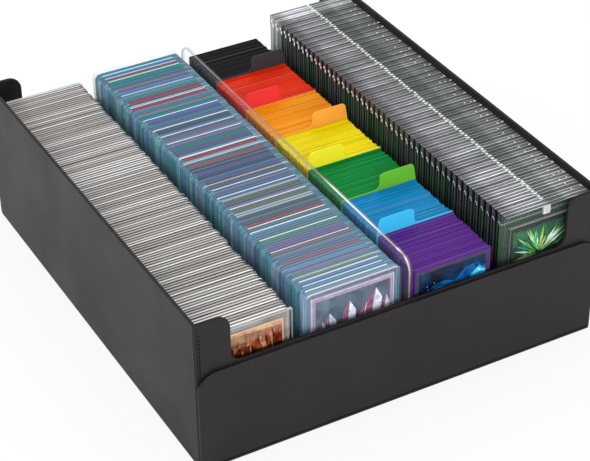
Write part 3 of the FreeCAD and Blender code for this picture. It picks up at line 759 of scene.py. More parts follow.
def holder_finishes():
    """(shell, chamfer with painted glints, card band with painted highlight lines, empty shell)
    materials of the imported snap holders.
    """
    low, high, pitch = packed_row("front_holder_front", "row2_holders")[:3]
    start = low.y - HOLDER_CHAMFER / 2

    def sides(shader, dark, middle, light):
        """Streaks down the sides, with a hint of the cards' own hues."""
        plain = shader.ramp(shader.streaks(30.0, 300.0, 4.0),
                            [(0.32, dark), (0.5, middle), (0.70, light)])
        hint = shader.ramp(shader.cell(start, pitch, 31.0), HOLDER_HINTS, constant=True)
        return shader.times(plain, hint)

    shell = Shader("snap_row_shell", Roughness=0.3, Specular_IOR_Level=0.15)
    face = shell.card_seen(sides(shell, (0.06, 0.14, 0.19), (0.11, 0.22, 0.29), (0.27, 0.40, 0.46)),
                           low, high, (HOLDER_MARGIN,) * 3, (0.40, 0.30, 0.42))
    shell = row_finish(shell, face, shell.ramp(shell.cell(start, pitch / 2, 5.0), SHELL_TOPS))

    glint = Shader("snap_row_glint", Roughness=0.2, Specular_IOR_Level=0.4)
    face = sides(glint, (0.07, 0.18, 0.24), (0.15, 0.29, 0.36), (0.42, 0.56, 0.62))
    glint = row_finish(glint, face, glint.ramp(glint.cell(start, pitch / 2, 9.0), GLINT_TOPS,
                                               constant=True))

    band = Shader("snap_row_card_band", Roughness=0.3, Specular_IOR_Level=0.12)
    forward = band.share("Y", ROW_BACK, ROW_FRONT)
    hues = [(number / len(HOLDER_HUES), hue) for number, hue in enumerate(HOLDER_HUES)]
    fine = band.ramp(band.cell(start, pitch / 2, 71.0), hues, constant=True)
    broad = band.ramp(band.cell(start, pitch, 11.0), hues, constant=True)
    whole = band.math("GREATER_THAN", band.cell(start, pitch, 57.0), WHOLE_CARDS)
    colour = band.times(band.mix(whole, fine, broad),
                        band.ramp(forward, [(0.0, 0.84), (0.5, 0.54), (1.0, 0.80)]))
    # painted highlight lines across the front of some holders, more of them towards the front
    line = band.math("LESS_THAN", band.phase(start, pitch), HIGHLIGHT_WIDTH)
    rarity = band.math("SUBTRACT", 0.68, band.product(forward, 0.22))
    lit = band.math("GREATER_THAN", band.cell(start, pitch, 93.0), rarity)
    pearl = band.ramp(band.cell(start, pitch, 77.0), HIGHLIGHT_LINES, constant=True)
    colour = band.mix(band.product(line, lit), colour, pearl)
    pale = band.ramp(forward, [(0.0, 0.0), (0.55, 0.03), (1.0, 0.13)])
    band = row_finish(band, (0.05, 0.17, 0.24), band.mix(pale, colour, (0.72, 0.62, 0.62)))

    empty = Shader("snap_row_empty", Roughness=0.2, Specular_IOR_Level=0.4)
    cloud = empty.streaks(30.0, 400.0, 12.0, 3)
    seats = []
    for node, margin in (("row1_toploaders", TOPLOADER_CARD_INSET),
                         ("row2_holders", HOLDER_MARGIN)):
        low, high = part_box(node)
        seats.append(empty.inside(low.x + margin, high.x - margin, low.z + margin, high.z - margin))
    seat = empty.product(empty.math("MAXIMUM", *seats), empty.facing_ends())
    clear = empty.between(cloud, (0.62, 0.66, 0.68), (0.84, 0.86, 0.87), high=0.6)
    seen = empty.between(cloud, (0.34, 0.38, 0.41), (0.50, 0.54, 0.56), high=0.6)
    empty.paint(empty.mix(seat, clear, seen))
    return shell, glint, band, empty.material


def holder_row(shell, glint, band, empty):
    """Snap holders as two chamfered half shells each; band is the card seen through the top."""
    low, high, pitch, half = packed_row("front_holder_front", "row2_holders")[:4]
    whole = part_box("front_holder_back")[1].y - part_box("front_holder_front")[0].y
    count = round((high.y - low.y - whole) / pitch) + 1
    stops = (low.x + HOLDER_MARGIN, high.x - HOLDER_MARGIN - SLEEVE_EDGE)
    bm = bmesh.new()
    chance = random.Random(23)
    for number in range(count):
        y = low.y + number * pitch
        drop = chance.uniform(0, 0.3) * MM
        shift = chance.uniform(-0.3, 0.3) * MM

        def outline(inset, drop=drop, shift=shift):
            return plate_outline(low.x + HOLDER_PLAY + shift, high.x - HOLDER_PLAY + shift,
                                 low.z, high.z - drop, HOLDER_CORNER, inset, steps=4,
                                 stops=[x + shift for x in stops])
        finish = (3, 3, 3) if number >= count - EMPTY_HOLDERS else (0, 1, 0)
        add_plate(bm, outline, y, y + half, HOLDER_CHAMFER, *finish)
        add_plate(bm, outline, y + whole - half, y + whole, HOLDER_CHAMFER, *finish)
    for face in bm.faces:
        centre = face.calc_center_median()
        over_card = stops[0] - MM < centre.x < stops[1] + MM and centre.z > high.z - MM
        if face.material_index == 0 and over_card:
            face.material_index = 2
    piece = mesh_piece("row2_snap_holders", bm, [shell, glint, band, empty], sharp=30)
    return dress(piece, "row2_holders", "snap_holder", "row2_holders")


# ---- clear centre divider --------------------------------------------------------
DIVIDER_ROUND = 0.35 * MM
# painted highlights along the rim, with duller tones between them
RIM_HIGHLIGHTS_ALONG = [   # from the back to the front
    (0.0, 0.36), (0.50, (0.30, 0.27, 0.26)), (0.65, (0.34, 0.32, 0.30)), (0.70, 0.86), (0.85, 0.92),
    (0.91, (0.46, 0.42, 0.42)), (0.945, (0.40, 0.36, 0.35)), (0.955, 0.95),
    (0.975, (0.36, 0.31, 0.29)), (0.985, 0.85), (1.0, (0.40, 0.36, 0.35))]
# painted highlight over the left part of the rim, duller tones to the right
RIM_HIGHLIGHTS_ACROSS = [(0.0, (0.42, 0.38, 0.37)), (0.12, 1.0), (0.44, 1.0), (0.54, (0.42, 0.36, 0.34)),
              (1.0, (0.50, 0.44, 0.42))]


def clear_divider(acrylic):
    """Clear sheet whose sawn and polished rim carries painted highlights and is lighter than its
    faces.
    """
    rim = Shader("acrylic_rim", Roughness=0.3, Specular_IOR_Level=0.12)
    low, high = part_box("centre_divider")
    forward, across = rim.share("Y", high.y, low.y), rim.share("X", low.x, high.x)
    # the painted highlights fade to a darker tone lower down the front edge
    upright = rim.between(rim.share("Z", high.z - 30 * MM, high.z - 8 * MM),
                          (0.34, 0.33, 0.33), 1.0, 0.0, 1.0)
    saw = rim.between(rim.streaks(60.0, 22.0, 60.0, 4), 0.85, 1.0, 0.35, 0.65)
    rim.paint(rim.times(rim.ramp(forward, RIM_HIGHLIGHTS_ALONG), upright, rim.ramp(across, RIM_HIGHLIGHTS_ACROSS), saw))
    solid = rim.times(rim.ramp(forward, [(0.0, 0.60), (0.65, 0.62), (0.70, 0.95)]),
                      rim.ramp(across, [(0.0, 0.6), (0.14, 1.0), (0.46, 1.0), (0.60, 0.50)]))
    rim.put(rim.bsdf, {"Alpha": solid})
    piece = rounded_copy("centre_divider", "clear_divider", [acrylic, rim.material],
                         DIVIDER_ROUND, edge_material=1)
    for polygon in piece.data.polygons:
        if abs(polygon.normal.x) < SQUARE_ENOUGH:
            polygon.material_index = 1
    piece.visible_shadow = False
    return dress(piece, "centre_divider", "acrylic", "centre_divider")


# ---- row 3 -----------------------------------------------------------------------
SLEEVE_PITCH = 0.74 * MM
SLEEVE_FILL = 0.93          # part of the pitch that a sleeve takes up
SLEEVE_SIDE = 0.5 * MM      # inside the row's box
SLEEVE_LEAN = 0.45 * MM     # at most, to either side
SLEEVE_DROP = 0.9 * MM      # at most, below the row's top
SLEEVE_JUT = 1.1 * MM       # how far some sleeves stand out to the right
JUTTING = 0.3               # share of them that do
SLEEVE_RISES = (0.9, 0.7, 0.4)      # mm, of the rearmost ones, pushed up by the divider behind


def sleeved_cards(colour, film, seed):
    """One colour's sleeves, each a thin packet that stands a little out of line."""
    node = "cards_" + colour
    low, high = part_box(node)
    count = int((high.y - low.y) / SLEEVE_PITCH)
    pitch = (high.y - low.y) / count
    chance = random.Random(seed)
    bm = bmesh.new()
    lean = 0.0
    for number in range(count):
        lean = 0.7 * lean + chance.uniform(-0.2, 0.2) * MM
        y = low.y + number * pitch
        drop = abs(chance.gauss(0, 0.22)) * MM
        x0 = low.x + SLEEVE_SIDE + max(-SLEEVE_LEAN, min(SLEEVE_LEAN, lean))
        if chance.random() < JUTTING:
            x0 += chance.uniform(0.5, 1.0) * SLEEVE_JUT
        x1 = x0 + high.x - low.x - 2 * SLEEVE_SIDE
        top = high.z - min(drop, SLEEVE_DROP)
        if count - number <= len(SLEEVE_RISES) and colour != COLOURS[-1]:
            top = high.z + SLEEVE_RISES[count - number - 1] * MM
        add_box(bm, (x0, y, low.z), (x1, y + pitch * SLEEVE_FILL, top))
    piece = mesh_piece(colour + "_sleeves", bm, [film])
    return dress(piece, "row3_cards_" + colour, "sleeve_" + colour, node)


# ---- row 4 -----------------------------------------------------------------------
CASE_HEAD = 10 * MM
CASE_MARGIN = 6.5 * MM
CASE_ROUND = 0.3 * MM
STRIPE_START = 0.35 * MM    # the stripes start this far in front of the first case
MAGNET_ROUND = 1.1 * MM
MAGNET_PROUD = 0.15 * MM    # magnets show through the clear heads, so they are drawn at the top
MAGNET_WIDTH = 0.62         # of the solid's: they look narrower through the plastic
# the pips are small white blocks that stand for glints: painted highlights
PIP_PROUD = 0.12 * MM
PIP_SUNK = 0.5 * MM
TOP_PIPS = ((65, 1.3, 0.75), (-2.2, 2.0, 0.6), (-5.5, 1.0, 0.4))    # mm, and their odds
# painted highlight lines and painted shade across the cases' tops
LIGHT_AND_SHADE_REAR = [    # through one case, from its front to its back
    (0.0, 0.78), (0.09, 0.85), (0.14, 0.07), (0.22, 0.12), (0.30, 0.40), (0.37, 0.16),
    (0.45, 0.02), (0.51, 0.42), (0.58, 0.09), (0.68, 0.22), (0.78, 0.06), (0.88, 0.015)]
LIGHT_AND_SHADE_FRONT = [
    (0.0, 0.74), (0.10, 0.80), (0.16, 0.12), (0.26, 0.05), (0.36, 0.24), (0.44, 0.03),
    (0.50, 0.52), (0.60, 0.56), (0.66, 0.10), (0.76, 0.05), (0.86, 0.22), (0.94, 0.015)]
# painted sheen across the cases' tops, lightest over the left middle
CASE_SHEEN_ACROSS = [
    (0.0, (0.50, 0.49, 0.52)), (0.07, (0.60, 0.60, 0.65)), (0.17, (1.20, 1.22, 1.30)),
    (0.36, (1.25, 1.28, 1.34)), (0.48, (1.05, 1.10, 1.12)), (0.54, (0.44, 0.49, 0.49)),
    (0.68, (0.54, 0.61, 0.60)), (0.74, (0.90, 0.98, 0.96)), (0.86, (0.84, 0.88, 0.88)),
    (1.0, (0.68, 0.66, 0.68))]
# painted light through the sides of the clear heads, with a painted highlight line, then dark
LIT_CASE_HEADS = [(0.0, (0.045, 0.075, 0.067)), (0.12, 0.10), (0.36, 0.07), (0.44, 0.30),
              (0.49, 0.006), (0.90, 0.010)]
CASE_BODIES = [
    (0.0, (0.008, 0.011, 0.010)), (0.10, (0.10, 0.14, 0.11)), (0.20, (0.010, 0.013, 0.011)),
    (0.42, (0.012, 0.013, 0.013)), (0.50, (0.16, 0.17, 0.18)), (0.58, (0.007, 0.008, 0.008)),
    (0.95, (0.006, 0.007, 0.007))]
CASE_TINTS = [(0.0, (0.8, 1.3, 0.9)), (0.3, 1.0), (0.5, (1.2, 1.0, 1.3)), (0.7, (0.5, 0.9, 0.6)),
              (0.85, (1.2, 1.2, 1.3))]


def case_finishes():
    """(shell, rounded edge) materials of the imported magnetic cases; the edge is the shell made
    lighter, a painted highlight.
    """
    low, high, pitch = packed_row("front_case_front", "row4_case_fronts")[:3]
    finishes = []
    # the edge copy is made lighter than the shell: a painted highlight on the rounded edges
    for name, highlight_gain in (("shell", 1.0), ("edge", 1.35)):
        shader = Shader("case_row_" + name, Roughness=0.34, Specular_IOR_Level=0.14)
        forward = shader.share("Y", high.y, low.y)
        # painted highlights and light on the clear rearmost case, gone within the first few cases
        rear_highlights = shader.ramp(forward, [(0.0, 0.80), (0.034, 0.60), (0.050, 0.0)])
        wave = shader.product(shader.math("SUBTRACT", shader.streaks(38.0, 75.0, 1.0), 0.5), 0.30)
        slot = shader.math("ADD", shader.phase(low.y - STRIPE_START, pitch), wave)
        slot = shader.math("FRACT", slot)
        light_and_shade = shader.mix(forward, shader.ramp(slot, LIGHT_AND_SHADE_REAR),
                            shader.ramp(slot, LIGHT_AND_SHADE_FRONT))
        light_and_shade = shader.times(light_and_shade, shader.ramp(
            forward, [(0.0, 0.74), (0.55, 0.62), (0.85, 0.86), (1.0, 0.98)]))
        light_and_shade = shader.mix(rear_highlights, light_and_shade, shader.ramp(
            slot, [(0.0, 0.90), (0.25, 0.30), (0.5, 0.85), (0.7, 0.25)]))
        across = shader.ramp(shader.share("X", low.x, high.x), CASE_SHEEN_ACROSS)
        each = shader.between(shader.cell(low.y - STRIPE_START, pitch / 2, 3.0),
                              0.72, 1.25, 0.0, 1.0)
        drift = shader.between(shader.streaks(11.0, 60.0, 1.0), 0.75 * highlight_gain, 1.2 * highlight_gain)
        top = shader.times(shader.times(light_and_shade, across), shader.times(each, drift))

        phase = shader.phase(low.y, pitch)
        body = shader.times(shader.ramp(phase, CASE_BODIES), shader.ramp(
            shader.cell(low.y, pitch, 41.0), CASE_TINTS, constant=True))
        upper = shader.math("GREATER_THAN", shader.axis("Z"), high.z - CASE_HEAD)
        side = shader.times(shader.mix(upper, body, shader.ramp(phase, LIT_CASE_HEADS)),
                            shader.between(forward, 1.0, 0.6, 0.6, 1.0))
        side = shader.mix(rear_highlights, side, shader.ramp(
            phase, [(0.0, 0.85), (0.22, 0.28), (0.48, 0.90), (0.62, 0.30), (0.90, 0.45)]))
        if name == "shell":
            side = shader.card_seen(side, low, high, (CASE_MARGIN, CASE_MARGIN,
                                                      CASE_HEAD + 3 * MM), (0.008, 0.010, 0.009))
        finishes.append(row_finish(shader, side, top))
    return finishes


def hook_highlights(low, high):
    """Finish of the pips on the cases' sides: painted highlights, lighter above and at the rear."""
    hook = Shader("case_pip_side", Roughness=0.3, Specular_IOR_Level=0.3)
    ledge = high.z - CASE_HEAD
    fade = hook.ramp(hook.share("Z", ledge - 1.4 * MM, ledge + 2.6 * MM),
                     [(0.0, 0.16), (0.35, 0.42), (0.7, 0.98)])
    hook.paint(hook.times(fade, hook.between(hook.share("Y", high.y, low.y), 1.0, 0.62, 0.0, 1.0)))
    return hook.material


def case_pips(glint_white):
    """Small white pips on each packed case, painted glints where its moulding catches the light,
    and hooks at its ledge with painted highlights.

    TOP_PIPS has their places from the left edge, or below 0 from the right, and widths.
    """
    low, high, *_, places = packed_row("front_case_front", "row4_case_fronts")
    chance = random.Random(61)
    bm = bmesh.new()

    def top_pip(x, y, wide, deep):
        add_box(bm, (x, y, high.z - PIP_SUNK), (x + wide * MM, y + deep * MM, high.z + PIP_PROUD))

    for y in places:
        for along, wide, odds in TOP_PIPS:
            if chance.random() < odds:
                x = (high.x if along < 0 else low.x) + (along + chance.uniform(-0.8, 0.8)) * MM
                top_pip(x, y + chance.uniform(0.3, 2.0) * MM, wide, 0.9)
        top_pip((low.x + high.x) / 2 + chance.uniform(-1.6, 0.0) * MM, y + 5.1 * MM, 2.3, 1.6)
        rear = (y - low.y) / (high.y - low.y)
        foot = high.z - CASE_HEAD - (chance.uniform(0.4, 1.4) - 1.6 * rear) * MM
        tip = foot + chance.uniform(2.4, 3.4) * (1 + rear) * MM
        near, far = y + 0.5 * MM, y + (2.9 + 1.9 * rear) * MM
        for bottom, end in ((foot, near + 0.9 * (1 + rear) * MM),
                            (tip - (1.0 + 1.3 * rear) * MM, far)):
            add_box(bm, (low.x - PIP_PROUD, near, bottom), (low.x + PIP_SUNK, end, tip), 1)
    bmesh.ops.bevel(bm, geom=bm.edges[:], offset=0.1 * MM, segments=2, affect="EDGES")
    return dress(mesh_piece("row4_case_pips", bm, [glint_white, hook_highlights(low, high)]), "row4_cases",
                 "magnetic_case")


def case_row(shell, glint, magnet):
    """Magnetic cases behind the front one, with rounded edges."""
    for part in ("fronts", "backs"):
        piece = rounded_copy("row4_case_" + part, "row4_case_" + part + "_rounded",
                             [shell, glint], CASE_ROUND, edge_material=1)
        dress(piece, "row4_cases", "magnetic_case", "row4_case_" + part)
    # the magnets take the glint white finish: painted highlights
    piece = rounded_copy("row4_case_magnets", "row4_round_magnets", [magnet], MAGNET_ROUND,
                         segments=3)
    low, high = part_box("row4_case_magnets")
    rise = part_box("row4_case_fronts")[1].z - high.z + MAGNET_PROUD
    slide = (1 - MAGNET_WIDTH) * (low.x + high.x) / 2
    piece.data.transform(Matrix.Translation((slide, 0, rise))
                         @ Matrix.Scale(MAGNET_WIDTH, 4, (1, 0, 0)))
    return dress(piece, "row4_cases", "magnet", "row4_case_magnets")


# ---- clear front pieces ----------------------------------------------------------
FRONT_ROUND = 0.3 * MM


def front_clear(node, body, slot, clear, edge, top):
    """Front piece of a row: clear faces, lit edges, and a top like those of the row behind."""
    piece = rounded_copy(node, node + "_rounded", [clear, edge, top], FRONT_ROUND,
                         edge_material=1)
    for polygon in piece.data.polygons:
        if polygon.normal.z > FLAT_ENOUGH:
            polygon.material_index = 2
    piece.visible_shadow = False
    return dress(piece, body, slot, node)


# ---- printed front cards ---------------------------------------------------------
LAYER = 0.008 * MM          # each ink layer stands this far in front of the last
PANEL_TOP = 0.34            # share of its height at the top of the plain panel below that
LINE_WIDTH = 0.7            # mm, of the thin line round a picture
BAND_STEPS = 28
INKS = {                    # tone, the tone it runs into, and how fine they mix
    "umber": ((0.45, 0.20, 0.08), (0.30, 0.10, 0.04)),
    "sand": ((0.90, 0.66, 0.42),),
    "peach": ((0.36, 0.15, 0.05), (0.15, 0.04, 0.014), 110),
    "glow": ((0.66, 0.38, 0.17), (0.34, 0.13, 0.04), 200),
    "rust": ((0.42, 0.085, 0.02), (0.20, 0.035, 0.010), 260),
    "blood": ((0.16, 0.016, 0.008), (0.06, 0.008, 0.005), 300),
    "dusk": ((0.10, 0.02, 0.012), (0.04, 0.01, 0.008), 200),
    "lilac": ((0.36, 0.20, 0.38), (0.26, 0.14, 0.32)),
    "pearl": ((0.72, 0.58, 0.70),),
    "blush": ((0.60, 0.42, 0.60),),
    "slate": ((0.115, 0.115, 0.165), (0.030, 0.036, 0.065), 60),
    "haze": ((0.52, 0.60, 0.68), None, 60),
    "white": ((0.86, 0.84, 0.94), (0.46, 0.46, 0.62), 260),
    "pink": ((0.42, 0.11, 0.22), (0.16, 0.035, 0.09), 260),
    "plum": ((0.11, 0.04, 0.11), (0.04, 0.02, 0.06), 200),
    "mist": ((0.66, 0.82, 0.90), (0.38, 0.58, 0.68), 150),
    "grey_rim": ((0.052, 0.052, 0.058),),
    "night": ((0.004, 0.035, 0.11), (0.001, 0.003, 0.010), 45),
    "deep": ((0.006, 0.12, 0.40), (0.002, 0.03, 0.12), 90),
    "cyan": ((0.02, 0.52, 0.90), (0.005, 0.22, 0.55), 110),
    "foam": ((0.40, 0.88, 1.0), (0.08, 0.55, 0.85), 240),
    "black": ((0.007, 0.009, 0.008),),
    "black_line": ((0.05, 0.07, 0.06),),
    "forest": ((0.012, 0.17, 0.045), (0.002, 0.025, 0.010), 90),
    "leaf": ((0.20, 0.70, 0.10), (0.04, 0.36, 0.05), 300),
    "teal": ((0.04, 0.46, 0.34), (0.01, 0.20, 0.15), 240),
    "dew": ((0.86, 0.98, 0.88), (0.50, 0.85, 0.62), 300),
    "lime": ((0.62, 0.85, 0.22), (0.30, 0.55, 0.08), 300),
    "shade": ((0.01, 0.06, 0.02),),
}


class Print:
    """A card box with flat inked shapes in front of it, in millimetres from its lower left."""

    def __init__(self, node, stock):
        self.node = node
        self.low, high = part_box(node)
        self.width, self.height = (high.x - self.low.x) / MM, (high.z - self.low.z) / MM
        self.materials = [stock]
        self.inks = []
        self.bm = bmesh.new()
        self.layer = 0
        add_box(self.bm, self.low, high)

    def shape(self, name, points):
        """One flat polygon of an ink; each new one lies in front of those before."""
        if name not in self.inks:
            self.inks.append(name)
            self.materials.append(ink(name, *INKS[name]))
        self.layer += 1
        y = self.low.y - self.layer * LAYER
        corners = [self.bm.verts.new((self.low.x + x * MM, y, self.low.z + z * MM))
                   for x, z in points]
        self.bm.faces.new(corners).material_index = 1 + self.inks.index(name)

    def panel(self, name, x0, x1, z0, z1):
        """One flat rectangle."""
        self.shape(name, [(x0, z0), (x1, z0), (x1, z1), (x0, z1)])

    def frame(self, name, margin):
        """Rectangle that leaves the same margin all round."""
        self.panel(name, margin, self.width - margin, margin, self.height - margin)

    def bands(self, *rows):
        """Wavy bands: ink, ends, base, height, swing, turns and phase of each."""
        for name, x0, x1, base, height, swing, turns, phase in rows:
            points = [(x1, base), (x0, base)]
            for step in range(BAND_STEPS + 1):
                share = step / BAND_STEPS
                points.append((x0 + (x1 - x0) * share, base + height
                               + swing * math.sin(phase + turns * math.tau * share)))
            self.shape(name, points)

    def bordered(self, border, line, field, margin, top_margin):
        """Border, thin inner line, picture field and plain lower panel; the field's box."""
        self.frame(border, 0)
        x0, x1, z1 = margin, self.width - margin, self.height - top_margin
        self.panel(line, x0 - LINE_WIDTH, x1 + LINE_WIDTH, margin, z1 + LINE_WIDTH)
        z0 = self.height * PICTURE_FOOT
        self.panel(field, x0, x1, z0, z1)
        self.panel(border, x0, x1, margin + LINE_WIDTH, self.height * PANEL_TOP)
        return x0, x1, z0, z1

    def finish(self, name, body, slot="card"):
        """The finished card as a piece of the scene."""
        bmesh.ops.remove_doubles(self.bm, verts=self.bm.verts, dist=1e-7)
        return dress(mesh_piece(name, self.bm, self.materials), body, slot, self.node)


def canyon_card(stock):
    """Warm canyon at sundown for row 1."""
    card = Print("front_toploader_card", stock)
    x0, x1, z0, z1 = card.bordered("umber", "sand", "peach", 1.2, 1.0)
    for name, points in (
            ("glow", [(x0, z1), (x0, z1 - 3.5), (26, z1 - 2.0), (x1, z1 - 4.0), (x1, z1)]),
            ("rust", [(44, 80), (52, 84), (58, 81), (x1, 83), (x1, 76), (50, 74)]),
            ("rust", [(30, z0), (34, 72), (42, 79), (49, 76), (56, 82), (x1, 79), (x1, z0)]),
            ("glow", [(42, 79), (49, 76), (56, 82), (52, 70), (47, 64)]),
            ("blood", [(52, 64), (56, 76), (x1, 74), (x1, z0), (50, z0)]),
            ("dusk", [(16, z0), (20, 68), (29, 74), (37, 73), (44, 62), (50, 58), (50, z0)]),
            ("blood", [(25, 64), (33, 71), (38, 66), (34, 60)]),
            ("glow", [(20, 60), (33, 63), (44, 61), (44, 58.5), (30, 57.5), (20, 57)])):
        card.shape(name, points)
    chance = random.Random(8)
    for number in range(90):
        x = x0 + 1 + (x1 - x0 - 4) * chance.random()
        tall = chance.uniform(3, 11)
        wide = chance.uniform(0.9, 2.6)
        base = chance.uniform(56, 74)
        card.shape(("rust", "blood", "glow", "blood", "dusk")[number % 5],
                   [(x, base), (x + wide, base + chance.uniform(0.4, 2.0)),
                    (x + chance.uniform(-1.0, 2.4), base + tall)])
    card.shape("dusk", [(x0, z0), (x0, 50), (12, 53), (24, 49), (40, 53), (x1, 50), (x1, z0)])
    return card.finish("canyon_card", "row1_front_toploader")


def crystal_card(stock):
    """Pale crystals over mist for row 2, in a lilac double frame."""
    card = Print("front_holder_card", stock)
    for name, margin in (("pearl", 0), ("lilac", 0.9), ("blush", 1.9), ("lilac", 2.4)):
        card.frame(name, margin)
    edge = 3.6
    x0, x1, z0 = edge, card.width - edge, card.height * PICTURE_FOOT
    card.panel("slate", x0, x1, z0, card.height - edge)
    card.panel("haze", x0, x1, edge, z0 - 2.2)
    for x, width, tip_z, lean in ((12, 8, 74, -3), (20, 9, 80, -5), (30, 11, 85, 2),
                                  (38, 9, 79, 8), (48, 13, 89, 6), (58, 8, 80, 5)):
        foot = z0 + 4
        shoulder = foot + (tip_z - foot) * 0.80
        tip, waist = (x + lean, tip_z), x + lean * 0.8
        middle = (waist - width * 0.08, shoulder - 3)
        card.shape("pink", [(x - width / 2, foot), (x, foot), middle, tip,
                            (waist - width / 2, shoulder)])
        card.shape("white", [(x, foot), (x + width / 2, foot), (waist + width / 2, shoulder),
                             tip, middle])
        card.shape("plum", [(x - width * 0.45, foot), (x - width * 0.05, foot),
                            (x + lean * 0.5 - width * 0.1, shoulder - 8)])
    card.bands(("plum", x0, x1, z0, 30, 3.4, 1.4, 2.2), ("mist", x0, x1, z0, 26, 3.0, 2.5, 0.6))
    return card.finish("crystal_card", "row2_front_holder")


def wave_card(film):
    """Night surf for row 3, in its purple sleeve."""
    card = Print("front_sleeved_card", film)
    card.panel("grey_rim", 1.4, card.width - 1.4, 1.4, card.height - 1.2)
    x0, x1, z0 = 3.8, card.width - 3.8, card.height * PICTURE_FOOT
    card.panel("night", x0, x1, 4.0, card.height - 3.6)
    card.shape("deep", [(30, z0), (36, 78), (44, 86), (54, 88), (x1, 83), (x1, z0)])
    card.shape("cyan", [(46, 70), (50, 80), (57, 84), (x1, 80), (x1, 66)])
    card.shape("foam", [(50, 77), (55, 82), (x1, 79), (x1, 77), (56, 79)])
    card.bands(("deep", x0, 45, z0, 42, 4.0, 0.8, 5.4), ("cyan", x0, 40, z0, 37, 5.0, 0.75, 5.6))
    card.shape("foam", [(x0, 66), (13, 73), (24, 75), (36, 71), (26, 73), (14, 70)])
    card.bands(("deep", x0, x1, z0, 29, 2.6, 1.7, 0.4))
    chance = random.Random(14)
    for number in range(18):
        centre = (chance.uniform(x0 + 2, x1 - 2), chance.uniform(66, 82))
        card.shape("foam", arc(centre, chance.uniform(0.15, 0.5), 0, 345, 23))
    return card.finish("wave_card", "row3_front_card", "sleeve_purple")


def fern_card(stock):
    """Bright fern for row 4, in a black border."""
    card = Print("front_case_card", stock)
    x0, x1, z0, z1 = card.bordered("black", "black_line", "forest", 3.2, 5.0)
    chance = random.Random(9)
    root = Vector((27, 59))
    for number in range(80):
        turn = math.radians(chance.uniform(-25, 205))
        reach = chance.uniform(9, 29)
        start = chance.uniform(1, 9)
        along = Vector((math.cos(turn), math.sin(turn)))
        side = Vector((-along.y, along.x)) * chance.uniform(0.5, 1.6)
        foot, tip = root + along * start, root + along * reach
        tip.x = min(max(tip.x, x0 + 0.5), x1 - 0.5)
        tip.y = min(tip.y, z1 - 0.6)
        waist = foot.lerp(tip, 0.45)
        card.shape(("leaf", "teal", "dew", "lime", "shade")[number % 5],
                   [foot, waist + side, tip, waist - side])
    card.bands(("shade", x0, x1, z0, 8, 2, 3, 0.2))
    return card.finish("fern_card", "row4_front_case")


# ---- lights and surroundings -----------------------------------------------------
def area_light(name, place, target, size, power):
    """Soft rectangular lamp that faces the target."""
    data = bpy.data.lights.new(name, "AREA")
    data.shape = "RECTANGLE"
    data.size, data.size_y = size
    data.energy = power
    lamp = bpy.data.objects.new(name, data)
    lamp.location = place
    lamp.rotation_euler = (Vector(target) - Vector(place)).to_track_quat("-Z", "Y").to_euler()
    bpy.context.scene.collection.objects.link(lamp)


FLOOR_HALF = 6
FLOOR_LEVEL = -0.2 * MM
FLOOR_GLOW = 0.85           # share of plain white in what the camera sees of the floor


def make_floor():
    """Pale floor that stays near white for the camera and keeps a soft shadow."""
    bm = bmesh.new()
    bm.faces.new([bm.verts.new((x * FLOOR_HALF, y * FLOOR_HALF, FLOOR_LEVEL))
                  for x, y in ((-1, -1), (1, -1), (1, 1), (-1, 1))])
    shader = Shader("pale_floor", Roughness=0.9, Base_Color=0.86)
    path = shader.add("LightPath").outputs
    seen = shader.math("MAXIMUM", path["Is Camera Ray"], path["Is Transmission Ray"])
    mirrored = shader.math("ADD", shader.product(shader.share("Y", -0.22, 0.27), 0.78), 0.12)
    mirrored = shader.product(mirrored, path["Is Glossy Ray"])
    glow = shader.add("Emission", Color=1.0, Strength=1.0)
    share = shader.math("MAXIMUM", shader.product(seen, FLOOR_GLOW), mirrored)
    blend = shader.add("MixShader", Fac=share)
    shader.links.new(shader.bsdf.outputs[0], blend.inputs[1])
    shader.links.new(glow.outputs[0], blend.inputs[2])
    shader.links.new(blend.outputs[0], shader.nodes["Material Output"].inputs["Surface"])
    mesh_piece("floor", bm, [shader.material])


def make_world():
    """White surroundings, darker overhead for what only lights or mirrors the object."""
    world = bpy.data.worlds.new("studio")
    bpy.context.scene.world = world
    world.use_nodes = True
    nodes, links = world.node_tree.nodes, world.node_tree.links
    split = nodes.new("ShaderNodeSeparateXYZ")
    links.new(nodes.new("ShaderNodeTexCoord").outputs["Generated"], split.inputs[0])
    ramp = nodes.new("ShaderNodeValToRGB")
    links.new(split.outputs["Z"], ramp.inputs["Fac"])
    for element, (position, level) in zip(ramp.color_ramp.elements, ((0.12, 1.0), (0.5, 0.35))):
        element.position = position
        element.color = rgba(level)
    blend = nodes.new("ShaderNodeMix")
    blend.data_type = "RGBA"
    links.new(nodes.new("ShaderNodeLightPath").outputs["Is Glossy Ray"], blend.inputs[0])
    blend.inputs[6].default_value = rgba(1.0)
    links.new(ramp.outputs["Color"], blend.inputs[7])
    links.new(blend.outputs[2], nodes["Background"].inputs["Color"])


# ---- put together ----------------------------------------------------------------
TAB_ROUND = 0.15 * MM
SLEEVE_INK = {
    "purple": (0.092, 0.020, 0.23), "blue": (0.004, 0.235, 0.51), "green": (0.001, 0.235, 0.042),
    "yellow": (0.82, 0.68, 0.001), "orange": (0.85, 0.30, 0.004), "red": (0.72, 0.028, 0.004),
    "black": (0.0085, 0.0085, 0.0100),
}
TAB_INK = {
    "blue": (0.05, 0.52, 0.87), "green": (0.155, 0.51, 0.033), "yellow": (1.0, 0.87, 0.03),
    "orange": (0.94, 0.38, 0.055), "red": (0.80, 0.04, 0.045), "black": (0.042, 0.044, 0.048),
}

